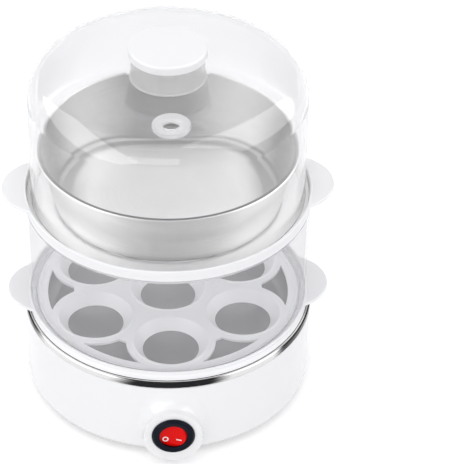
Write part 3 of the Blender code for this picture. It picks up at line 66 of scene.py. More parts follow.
# Sizes in millimetres that several pieces share
BOSS_AXIS = 20.8  # height of the middle of both bosses
BOSS_ROOT = 80.0  # how far out the bosses start, inside the base wall
BOSS_FOOT = 3.9  # height under which the blend of a boss doesn't reach
SWITCH_BORE = 10.9
CORD_BORE = 5.3
SCREW_BORE = 1.9  # of the screw that holds the knob


# Picking and shaping

def only(*pieces):
    """Selects these pieces alone, or nothing, the last one active."""
    bpy.ops.object.select_all(action="DESELECT")
    for piece in pieces:
        piece.select_set(True)
        bpy.context.view_layer.objects.active = piece


def discard(piece):
    only(piece)
    bpy.ops.object.delete()


def open_mesh(piece):
    only(piece)
    bpy.ops.object.mode_set(mode="EDIT")
    bpy.ops.mesh.select_mode(type="EDGE")


def pick_all():
    bpy.ops.mesh.select_all(action="SELECT")


def close_mesh():
    bpy.ops.object.mode_set(mode="OBJECT")


def pick(test, kind="edges"):
    """Selects the open mesh's edges or points that pass the test, and counts them."""
    mesh = bpy.context.edit_object.data
    shape = bmesh.from_edit_mesh(mesh)
    for part in (*shape.faces, *shape.edges, *shape.verts):
        part.select = False
    chosen = [part for part in getattr(shape, kind) if test(part)]
    for part in chosen:
        part.select_set(True)
    bmesh.update_edit_mesh(mesh)
    return len(chosen)


def on_ring(radius, height):
    """Test for edges that lie on a level ring round the upright axis."""
    def test(edge):
        return all(
            abs(hypot(v.co.x, v.co.y) - radius * MM) < NEAR and abs(v.co.z - height * MM) < NEAR
            for v in edge.verts
        )
    return test


def bends(edge, angle):
    """Whether the two faces of an edge meet at more than an angle in degrees."""
    return edge.is_manifold and edge.calc_face_angle() > radians(angle)


def rounded(test, width, steps, clamp=True):
    """Bevels the open mesh's edges that pass the test, by a width in millimetres."""
    pick(test)
    bpy.ops.mesh.bevel(offset=width * MM, segments=steps, clamp_overlap=clamp)


def rounding(before, corner, after):
    """Bevel width and steps that give a profile corner its radius."""
    way_in = Vector((corner[0] - before[0], corner[1] - before[1]))
    way_out = Vector((after[0] - corner[0], after[1] - corner[1]))
    turn = way_in.angle(way_out)
    steps = max(2, min(12, ceil(degrees(turn) * sqrt(corner[2]) / STEP_TURN)))
    return corner[2] * tan(turn / 2), steps


def extruded(x, y, z):
    """Extrudes the picked edges by a way in millimetres."""
    bpy.ops.mesh.extrude_edges_move(TRANSFORM_OT_translate={"value": (x * MM, y * MM, z * MM)})


def turned(name, corners, sides=None):
    """Grows a turned piece ring by ring from (radius, height, rounding) corners in millimetres.

    Corners that don't start on the axis go round a closed profile.
    """
    closed = corners[0][0] > 0
    first = 0 if closed else 1
    radius, height = (size * MM for size in corners[first][:2])
    only()
    bpy.ops.mesh.primitive_circle_add(
        vertices=sides or settings().stage.sides, radius=radius, location=(0, 0, height)
    )
    piece = bpy.context.object
    piece.name = name
    bpy.ops.object.transform_apply()
    open_mesh(piece)
    pick_all()
    path = corners[first:] + ([corners[first]] if closed else [])
    for here, there in zip(path, path[1:]):
        if there[0] == 0 and there[1] == here[1]:
            bpy.ops.mesh.edge_face_add()
            continue
        extruded(0, 0, there[1] - here[1])
        if there[0] == 0:
            bpy.ops.mesh.merge(type="CENTER")
        else:
            wider = there[0] / here[0]
            bpy.ops.transform.resize(value=(wider, wider, 1), center_override=(0, 0, 0))
    if not closed:
        pick(on_ring(*corners[1][:2]))
        if corners[0][1] == corners[1][1]:
            bpy.ops.mesh.edge_face_add()
        else:
            extruded(0, 0, corners[0][1] - corners[1][1])
            bpy.ops.mesh.merge(type="CENTER")
    pick_all()
    bpy.ops.mesh.remove_doubles(threshold=NEAR)
    for place, corner in enumerate(corners):
        if len(corner) == 3:
            width, steps = rounding(corners[place - 1], corner, corners[(place + 1) % len(corners)])
            rounded(on_ring(*corner[:2]), width, steps, clamp=False)
    pick_all()
    bpy.ops.mesh.normals_make_consistent()
    close_mesh()
    return piece


def moved(piece, move=(0, 0, 0), turn=(0, 0, 0)):
    """Puts a piece at a place in millimetres and bakes the place into its mesh."""
    only(piece)
    piece.rotation_euler = turn
    piece.location = Vector(move) * MM
    bpy.ops.object.transform_apply()
    return piece


def copies(piece, places):
    """Puts a copy with a mesh of its own at each place in millimetres, and throws the piece away."""
    made = []
    for place in places:
        only(piece)
        bpy.ops.object.duplicate()
        made.append(moved(bpy.context.object, place))
    discard(piece)
    return made


def modified(piece, kind, **values):
    """Puts a modifier on the piece and applies it."""
    only(piece)
    bpy.ops.object.modifier_add(type=kind)
    change = piece.modifiers[-1]
    for name, value in values.items():
        setattr(change, name, value)
    bpy.ops.object.modifier_apply(modifier=change.name)


def joined(*pieces):
    """Makes the pieces one mesh, kept by the last one."""
    only(*pieces)
    bpy.ops.object.join()
    return bpy.context.object


def combined(piece, operation, *tools):
    """Adds the tools to the piece, or cuts them from it, and throws them away."""
    for tool in tools:
        modified(piece, "BOOLEAN", operation=operation, solver="EXACT", object=tool)
        discard(tool)
    return piece


def cut_away(piece, *tools):
    return combined(piece, "DIFFERENCE", *tools)


def rod(name, radius, low, high, sides=64):
    """A plain turned rod, for studs and cutting tools."""
    return turned(name, [(0, low), (radius, low), (radius, high), (0, high)], sides)


def spread(count, radius, first=0.0):
    """Places on a ring round the upright axis, the first at an angle in degrees."""
    angles = [radians(360 / count * k + first) for k in range(count)]
    return [(radius * cos(angle), radius * sin(angle), 0) for angle in angles]


def seat_places(pitch):
    """The middle of a tray and the six places round it."""
    return [(0, 0, 0), *spread(6, pitch, -90)]


def dressed(piece, finish, body, slot, *nodes):
    """Shades a finished piece, gives it its finish and ties it to the frame."""
    only(piece)
    bpy.ops.object.transform_apply()
    bpy.ops.object.shade_smooth_by_angle(angle=SMOOTH_BELOW)
    modified(piece, "WEIGHTED_NORMAL", keep_sharp=True)
    piece.data.materials.clear()
    piece.data.materials.append(finish)
    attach(piece, body)
    if nodes:
        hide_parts(*nodes)
    return piece


# Finishes

def math_method(operation, swapped=False):
    """A field's method that adds one Math node, with its numbers swapped for a reflected form."""
    def method(field, *others):
        values = (*others, field) if swapped else (field, *others)
        return field.finish.math(operation, *values)
    return method


class Field:
    """A number, colour or shader of a node. Arithmetic on it adds Math nodes."""

    __add__ = __radd__ = math_method("ADD")
    __sub__ = math_method("SUBTRACT")
    __rsub__ = math_method("SUBTRACT", swapped=True)
    __mul__ = __rmul__ = math_method("MULTIPLY")
    __truediv__ = math_method("DIVIDE")
    __rtruediv__ = math_method("DIVIDE", swapped=True)
    __pow__ = math_method("POWER")
    __abs__ = math_method("ABSOLUTE")

    def __init__(self, finish, socket):
        self.finish = finish
        self.socket = socket

    def below(self, edge, blur, unit=MM):
        """1 where the number is under the edge, falling to 0 over the blur, both in millimetres."""
        edge, blur = edge * unit, blur * unit
        values = (self, edge - blur, edge + blur, 1.0, 0.0)
        return self.finish.add("ShaderNodeMapRange", {"interpolation_type": "SMOOTHSTEP"}, values)


METAL = {"Metallic": 1.0}


class Finish:
    """The node tree of a material, grown from the object's own coordinates, or of the world."""

    def __init__(self, name, owners=None):
        self.owner = (bpy.data.materials if owners is None else owners).new(name)
        self.owner.use_nodes = True
        self.tree = self.owner.node_tree
        self.tree.nodes.clear()

    def add(self, kind, settings=(), values=(), out=0):
        """Adds a node, sets it, fills or links its sockets by name or in order, and gives its output."""
        node = self.tree.nodes.new(kind)
        for name, setting in dict(settings).items():
            setattr(node, name, setting)
        for name, value in values.items() if isinstance(values, dict) else enumerate(values):
            if isinstance(value, Field):
                self.tree.links.new(value.socket, node.inputs[name])
            else:
                node.inputs[name].default_value = value
        if isinstance(out, tuple):
            return [Field(self, node.outputs[name]) for name in out]
        return Field(self, node.outputs[out])

    def math(self, operation, *values):
        return self.add("ShaderNodeMath", {"operation": operation}, values)

    @cached_property
    def place(self):
        return self.add("ShaderNodeTexCoord", out="Object")

    def axes(self):
        """The place as three numbers."""
        return self.add("ShaderNodeSeparateXYZ", values=(self.place,), out=("X", "Y", "Z"))

    def noise(self, scale, detail, vector=None):
        values = {"Vector": vector or self.place, "Scale": scale, "Detail": detail}
        return self.add("ShaderNodeTexNoise", values=values)

    def stretched(self, x, y, z, detail=2.0):
        """A noise that is stretched or squeezed along three numbers."""
        return self.noise(1.0, detail, self.add("ShaderNodeCombineXYZ", values=(x, y, z)))

    def tint(self, factor, first, second):
        """A colour between two, plain or varying, by a factor."""
        first, second = (end if isinstance(end, Field) else (*end, 1.0) for end in (first, second))
        return self.add("ShaderNodeMix", {"data_type": "RGBA"}, {0: factor, 6: first, 7: second}, out=2)

    def shader(self, colour, roughness, relief=None, depth=0.0, more=()):
        """A Principled shader, with the relief as its bump, its depth in millimetres."""
        values = {"Base Color": colour, "Roughness": roughness, **dict(more)}
        if relief is not None:
            bump = {"Height": relief, "Distance": depth * MM, "Strength": 1.0}
            values["Normal"] = self.add("ShaderNodeBump", values=bump)
        return self.add("ShaderNodeBsdfPrincipled", values=values)

    def mixed(self, factor, first, second):
        """A shader that goes over to another by a factor."""
        return self.add("ShaderNodeMixShader", values=(factor, first, second))

    def clear(self):
        return self.add("ShaderNodeBsdfTransparent")

    def lit_through(self, shader):
        """Lets lamps shine straight through a clear piece."""
        return self.mixed(self.add("ShaderNodeLightPath", out="Is Shadow Ray"), shader, self.clear())

    def seen(self):
        """1 where the camera looks, straight or by way of gloss or glass, and 0 for light alone."""
        names = ("Is Camera Ray", "Is Glossy Ray", "Is Transmission Ray")
        straight, gloss, glass = self.add("ShaderNodeLightPath", out=names)
        return self.math("MINIMUM", straight + gloss + glass, 1.0)

    def done(self, shader, output="ShaderNodeOutputMaterial"):
        """Ends the tree in the shader and gives the material or world that it belongs to."""
        self.add(output, values={"Surface": shader}, out=())
        return self.owner


def shaded(colour, factor):
    """The colour made darker or lighter."""
    return tuple(min(1.0, part * factor) for part in colour)


def varied(middle, *patterns):
    """A number that swings about its middle with each pattern, by the pattern's share."""
    for pattern, share in patterns:
        middle = middle + (pattern - 0.5) * share
    return middle


def distance(across, along):
    """Distance of a point from the middle of its plane."""
    return (across * across + along * along) ** 0.5


def twofold(x, y):
    """Runs twice round the upright axis, from 1 at the sides to -1 in front and behind."""
    return (x * x - y * y) / (x * x + y * y + 1e-7)


def gloss_moulding(name, colour, roughness=0.2, shine=0.5, coat=0.25):
    """Glossy moulded plastic: faint flow mottling, a soft ripple and a fine grain."""
    f = Finish(name)
    flow = f.noise(9.0, 3.0)
    ripple = f.noise(70.0, 2.0)
    grain = f.noise(900.0, 1.0)
    mottled = f.tint(flow, shaded(colour, 0.985), shaded(colour, 1.012))
    gloss = varied(roughness, (flow, 0.08), (grain, 0.05))
    more = {"Specular IOR Level": shine, "Coat Weight": coat, "Coat Roughness": 0.08}
    return f.done(f.shader(mottled, gloss, ripple + grain * 0.12, 0.012, more))


def milky_moulding(name, colour, floor):
    """Milky polypropylene of a tray: satin and cloudy, with painted light that makes its floor and inner wall
    lighter.
    """
    f = Finish(name)
    cloud = f.noise(22.0, 3.0)
    grain = f.noise(1400.0, 1.0)
    x, y, z = f.axes()
    # Painted light: the floor and everything inside the outer rim are painted lighter.
    painted_light = z.below(floor + 1.9, 0.4) + distance(x, y).below(82.2, 0.2)
    milk = f.tint(painted_light * 0.85 + cloud * 0.15, shaded(colour, 0.985), shaded(colour, 1.11))
    gloss = varied(0.34, (cloud, 0.12), (grain, 0.06))
    return f.done(f.shader(milk, gloss, grain + f.noise(60.0, 1.0), 0.014, {"IOR": 1.49}))


def frosted_wall(name, colour, cover, edges=()):
    """Frosted moulding that shows what stands behind it as through haze.

    Its outer face is denser past two edges and painted darker there as painted shade; each edge is a height
    and the radius of the wall's middle there.
    """
    f = Finish(name)
    cloud = f.noise(14.0, 3.0)
    grain = f.noise(1100.0, 2.0)
    x, y, z = f.axes()
    veil = varied(cover, (cloud, 0.05)) + (z - 90 * MM) * 0.5
    frost = f.tint(cloud, shaded(colour, 0.98), shaded(colour, 1.01))
    if edges:
        (low, low_middle), (high, high_middle) = edges
        radius = distance(x, y)
        foot = z.below(low, 0.3) * (1 - radius.below(low_middle, 0.2))
        top = (1 - z.below(high, 0.3)) * (1 - radius.below(high_middle, 0.2))
        # Painted shade: past both edges the face is denser and painted darker.
        dense_and_painted_shade = foot + top
        veil = veil + dense_and_painted_shade * 0.35
        frost = f.tint(dense_and_painted_shade, frost, shaded(colour, 0.6))
    more = {"IOR": 1.49, "Specular IOR Level": 0.3, "Alpha": veil}
    return f.done(f.lit_through(f.shader(frost, varied(0.42, (grain, 0.1)), grain, 0.02, more)))


def clear_moulding(name, colour):
    """Clear moulded plastic of the lid, paler in its crown, with the slight ripple of a pressed wall."""
    f = Finish(name)
    ripple = f.noise(26.0, 2.0)
    grain = f.noise(600.0, 1.0)
    low = f.axes()[2].below(166, 14)
    clear = f.tint(low, colour, (0.99, 0.99, 0.992))
    more = {"IOR": 1.46, "Transmission Weight": 0.935}
    relief = ripple + grain * 0.02
    return f.done(f.lit_through(f.shader(clear, 0.025 + ripple * 0.02, relief, 0.03, more)))


def brushed_steel(name, colour, roughness, middle, bottom, lean):
    """Spun stainless steel of the bowl, with grain and stains, painted reflections in soft streaks, and
    painted shade inside, in the floor's edge, in front, at the foot and along its lip.

    The middle of its wall starts at this radius and leans out by this share of the height.
    """
    f = Finish(name)
    x, y, z = f.axes()
    above = z - bottom * MM
    radius = distance(x, y)
    turn = twofold(x, y)
    fine = f.stretched(radius * 2600.0, z * 2600.0, (x + y) * 14.0)
    broad = f.stretched(radius * 260.0, z * 260.0, (x - y) * 9.0)
    stain = f.noise(18.0, 4.0)
    inside = (radius - above * lean).below(middle, 0.1)
    # Painted reflections: darker in front, behind and at the sides and lighter between, standing in for
    # reflected studio light, faded out towards the floor's middle.
    painted_reflections = turn * turn * (1 - radius.below(54, 12))
    # Painted shade: a dark ring in the outer edge of the bowl's floor.
    corner = inside * above.below(4.1, 2.2) * (1 - radius.below(58, 4.5))
    # Painted shade on the front of the outer wall, least at mid-height and darker towards its top and foot.
    front = turn.below(-0.58, 0.24, unit=1) * y.below(0, 10) * (0.06 + abs(above - 18 * MM) * 14)
    # Painted shade on the outer wall: the front shade and a darker band along the foot.
    outer = (1 - inside) * (front + above.below(5, 2) * 0.22)
    # Painted shade: a near-black line along the inner top of the lip, darkest in front and fading towards the
    # back.
    lip = radius.below(74.4, 0.1) * (1 - above.below(36.7, 0.1))
    lip = lip * y.below(10, 30)
    # The fine grain and the stain are the steel's own tone; the other terms are painted reflections and
    # painted shade, with the inside of the bowl painted darker as shade.
    grain_stain_and_painted_shade = painted_reflections * (0.5 + inside * 0.3) + (fine + stain - 1.0) * 0.3 + inside * 0.36 + corner * 0.8 + outer
    steel_with_painted_light = f.tint(grain_stain_and_painted_shade, shaded(colour, 1.2), shaded(colour, 0.4))
    metal = f.tint(lip * 0.96, steel_with_painted_light, shaded(colour, 0.06))
    gloss = varied(roughness + inside * 0.1, (fine, 0.16), (broad, 0.1), (stain, 0.06))
    return f.done(f.shader(metal, gloss, fine * 0.7 + broad * 0.3, 0.008, METAL))


def rim_steel(name, inside, polished):
    """Dull steel of the dish, whose polished outer band carries painted dark and light reflections and a
    painted shade line along its inner edge.
    """
    f = Finish(name)
    x, y, z = f.axes()
    radius = distance(x, y)
    fine = f.stretched(radius * 2600.0, z * 2600.0, (x + y) * 20.0)
    broad = f.stretched(x * 30.0, y * 30.0, z * 420.0, 3.0)
    turn = varied(twofold(x, y), (broad, 0.24))
    # Painted reflections: the polished band is painted dark in front, behind and at the sides, more widely on
    # the right, and stays light between.
    painted_dark_reflections = turn.below(-0.76, 0.12, unit=1) + (1 - (turn + x * 3.9).below(0.3, 0.16, unit=1))
    band = 1 - radius.below(82.8, 0.2)
    # Painted shade: a dark line along the inner edge of the band, in the gap under the tray.
    painted_groove_shade = radius.below(83.4, 0.1)
    crest = radius.below(84.1, 0.1)
    # Painted reflections and painted shade: the band goes over from the polished colour to near black, while
    # the crest stays polished.
    painted_reflections = f.tint(painted_dark_reflections * (1 - crest) + painted_groove_shade * 0.9, shaded(polished, 0.88), (0.018, 0.018, 0.019))
    dull = f.tint(fine, shaded(inside, 0.85), shaded(inside, 1.15))
    gloss = varied(0.3 - band * 0.14, (fine, 0.12))
    return f.done(f.shader(f.tint(band, dull, painted_reflections), gloss, fine, 0.006, METAL))


def plated_metal(name, colour, roughness):
    """Pressed and plated small metal parts."""
    f = Finish(name)
    cloud = f.noise(120.0, 4.0)
    scratch = f.noise(1800.0, 2.0)
    metal = f.tint(cloud, shaded(colour, 0.82), shaded(colour, 1.1))
    gloss = varied(roughness, (cloud, 0.2), (scratch, 0.1))
    return f.done(f.shader(metal, gloss, scratch, 0.012, METAL))


def dull_body(name, colour, roughness, grain_scale, depth):
    """Rubber, ceramic and lead insulation: matt and grained."""
    f = Finish(name)
    cloud = f.noise(90.0, 3.0)
    grain = f.noise(grain_scale, 3.0)
    body = f.tint(cloud * 0.6 + grain * 0.4, shaded(colour, 0.86), shaded(colour, 1.12))
    return f.done(f.shader(body, varied(roughness, (grain, 0.12)), grain, depth))


def rocker_moulding(name, colour, marks, height):
    """Glossy rocker with a ring and a stroke printed in white on its face."""
    f = Finish(name)
    x, y, z = f.axes()
    level = z - height * MM
    soft = 0.06
    ring = abs(distance(x + 4.5 * MM, level) - 1.45 * MM).below(0.34, soft)
    stroke = abs(x - 3.2 * MM).below(1.5, soft) * abs(level).below(0.36, soft)
    print_mask = (ring + stroke) * y.below(-86.5, 0.2)
    flow = f.noise(60.0, 2.0)
    grain = f.noise(1500.0, 1.0)
    body = f.tint(flow, shaded(colour, 0.94), shaded(colour, 1.05))
    printed = f.tint(print_mask, body, marks)
    gloss = varied(0.16 + print_mask * 0.12, (grain, 0.06))
    relief = flow + print_mask * 0.6 + grain * 0.1
    return f.done(f.shader(printed, gloss, relief, 0.01, {"Specular IOR Level": 0.09}))


# Sizes and colours

def number(name, text, default, **more):
    return FloatProperty(name=name, description=text, default=default, **more)


def length(name, text, default):
    return number(name, text, default, min=0.0, subtype="DISTANCE", unit="LENGTH")


def angle(name, text, default):
    return number(name, text, radians(default), subtype="ANGLE")


def tone(name, text, default):
    return FloatVectorProperty(
        name=name, description=text, default=default, size=3, min=0.0, max=1.0, subtype="COLOR"
    )


def pointer(kind, name, text):
    return PointerProperty(type=kind, name=name, description=text)


class EggCookerColours(bpy.types.PropertyGroup):
    """Colours of the finishes."""

    housing: tone("Housing", "White moulding of the base and the knob", (0.87, 0.87, 0.875))
    tray: tone("Trays", "Milky moulding of both trays", (0.87, 0.87, 0.88))
    wall: tone("Steam ring", "Frosted wall between the trays", (0.88, 0.88, 0.9))
    lid: tone("Lid", "Clear moulding of the lid", (0.915, 0.915, 0.925))
    grip: tone("Grip", "Frosted moulding of the grip ring", (0.88, 0.875, 0.87))
    vent: tone("Vent", "Frosted moulding of the steam vent", (0.84, 0.84, 0.85))
    bowl: tone("Bowl", "Brushed steel of the bowl", (0.78, 0.775, 0.77))
    dish: tone("Dish", "Darker steel of the heating dish", (0.12, 0.118, 0.12))
    bezel: tone("Bezel", "Moulding of the switch frame", (0.004, 0.006, 0.013))
    rocker: tone("Rocker", "Moulding of the switch rocker", (0.76, 0.003, 0.002))
    marks: tone("Marks", "Print on the rocker", (0.86, 0.86, 0.86))


class EggCookerBaseSizes(bpy.types.PropertyGroup):
    """Sizes of the base and the dish."""

    radius: length("Base radius", "Radius of the base wall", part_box("base_housing")[1][0])
    bottom: length("Bottom edge", "Height of the base's lower edge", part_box("base_housing")[0][2])
    edge: length("Edge radius", "Rounding of the base's lower edge", 0.005)
    boss: length("Boss radius", "Radius of the boss round the switch", 0.017)
    flare: length("Boss flare", "Width of the blend between the boss and the wall", 0.005)
    dish_floor: length("Dish floor", "Radius of the flat floor of the dish", 0.068)


class EggCookerTraySizes(bpy.types.PropertyGroup):
    """Sizes that both trays share."""

    pitch: length("Seat pitch", "Distance from the middle to the outer seats", 0.050)
    seat: length("Seat radius", "Radius of a seat at the tray's floor", 0.0215)
    mouth: length("Seat mouth", "Radius at the lower end of a seat", 0.016)
    depth: length("Seat depth", "Height of a seat's funnel", 0.0065)
    window: length("Window radius", "Outer radius of the lower tray's steam windows", 0.0715)
    upper_window: length("Upper window radius", "Outer radius of the upper tray's steam windows", 0.0660)
    web: length("Web radius", "Radius round a seat that the windows stay out of", 0.026)
    lower_reach: length("Lower tabs", "Reach of the lower tray's tabs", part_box("lower_tray")[1][0])
    upper_reach: length("Upper tabs", "Reach of the upper tray's tabs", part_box("upper_tray")[1][0])


class EggCookerUpperSizes(bpy.types.PropertyGroup):
    """Sizes of the ring, the bowl, the lid and the knob."""

    ring_wall: length("Ring wall", "Wall of the steam ring", 0.0016)
    ring_flare: length("Ring flare", "How far the ring opens above its foot", 0.0035)
    bowl_sheet: length("Bowl sheet", "Thickness of the bowl", 0.0008)
    lid_wall: length("Lid wall", "Wall of the lid", 0.0018)
    lid_dip: length("Lid dip", "Depth of the hollow in the lid's top", 0.004)
    shoulder: length("Lid shoulder", "Rounding between the lid's wall and its top", 0.0165)
    knob: length("Knob radius", "Radius of the knob's cap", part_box("knob_cap")[1][0])


class EggCookerSwitchSizes(bpy.types.PropertyGroup):
    """Sizes of the switch."""

    height: length("Switch height", "Height of the switch's middle", 0.023)
    bezel: length("Bezel radius", "Radius of the switch frame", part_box("switch_body")[1][0] + 0.0004)
    mouth: length("Mouth radius", "Radius of the opening round the rocker", 0.0080)
    ball: length("Rocker ball", "Radius of the ball that the rocker is cut from", 0.0088)
    tilt: angle("Rest tilt", "Tilt of the rocker at rest", 8)


class EggCookerStage(bpy.types.PropertyGroup):
    """Camera, lamps and floor."""

    lens: number("Lens", "Focal length in millimetres", 179.0, min=1.0)
    azimuth: angle("Turn", "Camera's turn from the front", 1.9)
    distance: length("Distance", "Camera's level distance from the object's middle", 1.078)
    height: length("Height", "Camera's height above the floor", 0.914)
    aim: length("Aim", "Height of the point that the camera looks at", 0.099)
    shift: number("Shift", "Sideways shift of the frame", 0.138)
    room: number("Room light", "Strength of the even light from all round", 0.93, min=0.0)
    sides: IntProperty(
        name="Sides", description="Sides of the large turned shells", default=128, min=24, max=256
    )


class EggCookerSettings(bpy.types.PropertyGroup):
    """All settings of the egg cooker."""

    colours: pointer(EggCookerColours, "Colours", "Colours of the finishes")
    base: pointer(EggCookerBaseSizes, "Base", "Base and dish")
    trays: pointer(EggCookerTraySizes, "Trays", "Both trays")
    upper: pointer(EggCookerUpperSizes, "Upper pieces", "Ring, bowl, lid and knob")
    switch: pointer(EggCookerSwitchSizes, "Switch", "Frame and rocker of the switch")
    stage: pointer(EggCookerStage, "Stage", "Camera, lamps and floor")


def settings():
    return bpy.context.scene.egg_cooker


def in_mm(group, *names):
    """Sizes of a group in millimetres."""
    return [getattr(getattr(settings(), group), name) / MM for name in names]


def colour_of(name):
    return tuple(getattr(settings().colours, name))


def finish_of(name, maker, *values, **more):
    """The finish of that name, made once."""
    return bpy.data.materials.get(name) or maker(name, *values, **more)


def white_finish():
    return finish_of("housing_gloss", gloss_moulding, colour_of("housing"))


def rubber_finish():
    return finish_of("foot_rubber", dull_body, (0.035, 0.035, 0.038), 0.62, 700.0, 0.06)


# Base

def wall_boss(name, wall, radius, flare, hole, front, rise=0.0, lift=0.0, sides=72):
    """A round boss that swells out of the base wall.

    Its blend reaches further above by the rise, and its hole sits higher than its middle by the lift.
    """
    middle = BOSS_AXIS * MM

    def at(vert, ring):
        return abs(hypot(vert.co.x, vert.co.z - middle) - ring * MM) < NEAR

    def stretched(wider, taller):
        bpy.ops.transform.resize(value=(wider, 1, taller), center_override=(0, 0, middle))

    only()
    bpy.ops.mesh.primitive_circle_add(
        vertices=sides, radius=hole * MM, rotation=(pi / 2, 0, 0), location=(0, -BOSS_ROOT * MM, middle)
    )
    boss = bpy.context.object
    boss.name = name
    bpy.ops.object.transform_apply()
    boss.vertex_groups.new(name="reach")
    reach_out = front - max(hypot(v.co.x, v.co.y) for v in wall.data.vertices) / MM
    rings = [(hole, 0.0), (radius, 0.0)]
    for step in range(6, -1, -1):
        bend = pi / 2 * step / 6
        weight = 1 - min(1.0, flare * (1 - cos(bend)) / reach_out)
        rings.append((radius + flare * (1 - sin(bend)), weight))
    open_mesh(boss)
    pick_all()
    size, advance = hole, BOSS_ROOT - front
    for ring, weight in rings:
        extruded(0, advance, 0)
        stretched(ring / size, ring / size)
        bpy.context.scene.tool_settings.vertex_group_weight = weight
        bpy.ops.object.vertex_group_assign()
        size, advance = ring, 0.0
    low = BOSS_AXIS - BOSS_FOOT
    for ring, weight in rings[2:]:
        if weight == 0:
            continue
        if pick(lambda vert: at(vert, ring) and vert.co.z - middle > NEAR, "verts"):
            stretched(1, 1 + rise * weight)
        if ring > low and pick(lambda vert: at(vert, ring) and middle - vert.co.z > NEAR, "verts"):
            stretched(1, low / ring)
    pick(lambda vert: at(vert, hole), "verts")
    bpy.ops.transform.translate(value=(0, 0, lift * MM))
    close_mesh()
    modified(
        boss, "SHRINKWRAP", target=wall, wrap_method="PROJECT", use_project_y=True, vertex_group="reach",
    )
    open_mesh(boss)
    rounded(lambda edge: all(abs(v.co.y + front * MM) < NEAR and at(v, radius) for v in edge.verts), 2.6, 6)
    pick(lambda edge: edge.is_boundary and edge.verts[0].co.y < -(BOSS_ROOT + 0.01) * MM)
    extruded(0, 1.2, 0)
    pick(lambda edge: edge.is_boundary)
    bpy.ops.mesh.bridge_edge_loops()
    pick_all()
    bpy.ops.mesh.remove_doubles(threshold=NEAR)
    bpy.ops.mesh.normals_make_consistent()
    close_mesh()
    boss.vertex_groups.clear()
    return boss


def bore(name, radius, height, turn):
    """A level rod that cuts the base wall at a height."""
    return moved(rod(name, radius, 76.0, 100.0), (0, 0, height), (turn, 0, 0))


class EGGCOOKER_OT_base(bpy.types.Operator):
    """Builds the white base shell with its bosses and screw posts"""

    bl_idname = "egg_cooker.base"
    bl_label = "Base shell"

    def execute(self, context):
        radius, bottom, edge, boss, flare = in_mm("base", "radius", "bottom", "edge", "boss", "flare")
        wall, step, ledge, top, opening = 2.4, 0.9, 51.4, 54.6, 72.0
        shell = turned("base_shell", [
            (radius - wall, top, 0.4), (radius - step, top, 0.4), (radius - step, ledge),
            (radius, ledge, 0.6), (radius, bottom, edge), (opening, bottom, 0.4),
            (opening, bottom + wall), (radius - wall, bottom + wall, edge - wall),
        ])
        axis, = in_mm("switch", "height")
        front = wall_boss("switch_boss", shell, boss, flare, SWITCH_BORE, 93.0, 0.3, axis - BOSS_AXIS)
        rear = wall_boss("cord_boss", shell, 10.0, 2.0, CORD_BORE, 87.0, sides=48)
        moved(rear, turn=(0, 0, pi))
        cut_away(shell, bore("switch_cut", SWITCH_BORE, axis, pi / 2))
        cut_away(shell, bore("cord_cut", CORD_BORE, BOSS_AXIS, -pi / 2))
        hole, side, foot, head = 1.2, 4.2, 5.0, 22.0
        post = turned("post", [(hole, foot), (side, foot, 0.3), (side, head, 0.3), (hole, head)], 24)
        posts = copies(post, [(x, y, 0) for x in (59.3, -59.3) for y in (24.0, -24.0)])
        shell = joined(front, rear, *posts, shell)
        dressed(shell, white_finish(), "base", "white_plastic", "base_housing")
        return {"FINISHED"}


class EGGCOOKER_OT_feet(bpy.types.Operator):
    """Builds the four rubber feet"""

    bl_idname = "egg_cooker.feet"
    bl_label = "Feet"

    def execute(self, context):
        neck, sole, catch, head = 3.0, 3.0, 5.3, 7.3
        foot = turned("foot", [
            (0, 0), (6.2, 0, 0.5), (7.0, sole, 0.4), (neck, sole), (neck, catch), (neck + 0.9, catch),
            (neck, head), (0, head),
        ], 40)
        nodes = [f"foot_{end}_{side}" for end in ("front", "rear") for side in ("left", "right")]
        boxes = [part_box(node) for node in nodes]
        places = [((low[0] + high[0]) / 2 / MM, (low[1] + high[1]) / 2 / MM, 0) for low, high in boxes]
        for node, piece in zip(nodes, copies(foot, places)):
            piece.name = f"rubber_{node}"
            dressed(piece, rubber_finish(), "base", "rubber", node)
        return {"FINISHED"}


class EGGCOOKER_OT_dish(bpy.types.Operator):
    """Builds the steel heating dish with its rolled rim and studs"""

    bl_idname = "egg_cooker.dish"
    bl_label = "Heating dish"

    def execute(self, context):
        floor, = in_mm("base", "dish_floor")
        sheet, pan, crest, rim, hem = 0.8, 41.0, 55.7, 85.0, 51.9
        dish = turned("dish_shell", [
            (0, pan), (floor, pan, 4), (77.0, 46.2, 3), (77.6, crest, 1.2), (rim, crest, 0.8),
            (rim, hem, 0.15), (rim - sheet, hem, 0.15), (rim - sheet, crest - sheet, 0.5),
            (77.6 + sheet, crest - sheet, 0.6), (77.0 + sheet, 46.0, 3), (floor + 0.3, pan - sheet, 4),
            (0, pan - sheet),
        ])
        root = 40.4
        studs = copies(rod("stud", 2.0, 26.2, root, 20), spread(3, 60))
        pins = copies(rod("pin", 1.5, 26.7, root, 20), [(-22.0, 0, 0), (22.0, 0, 0)])
        dish = joined(*studs, *pins, dish)
        steel = finish_of("dish_steel", rim_steel, colour_of("dish"), colour_of("bowl"))
        dressed(dish, steel, "base", "stainless", "heating_dish")
        return {"FINISHED"}


# Trays

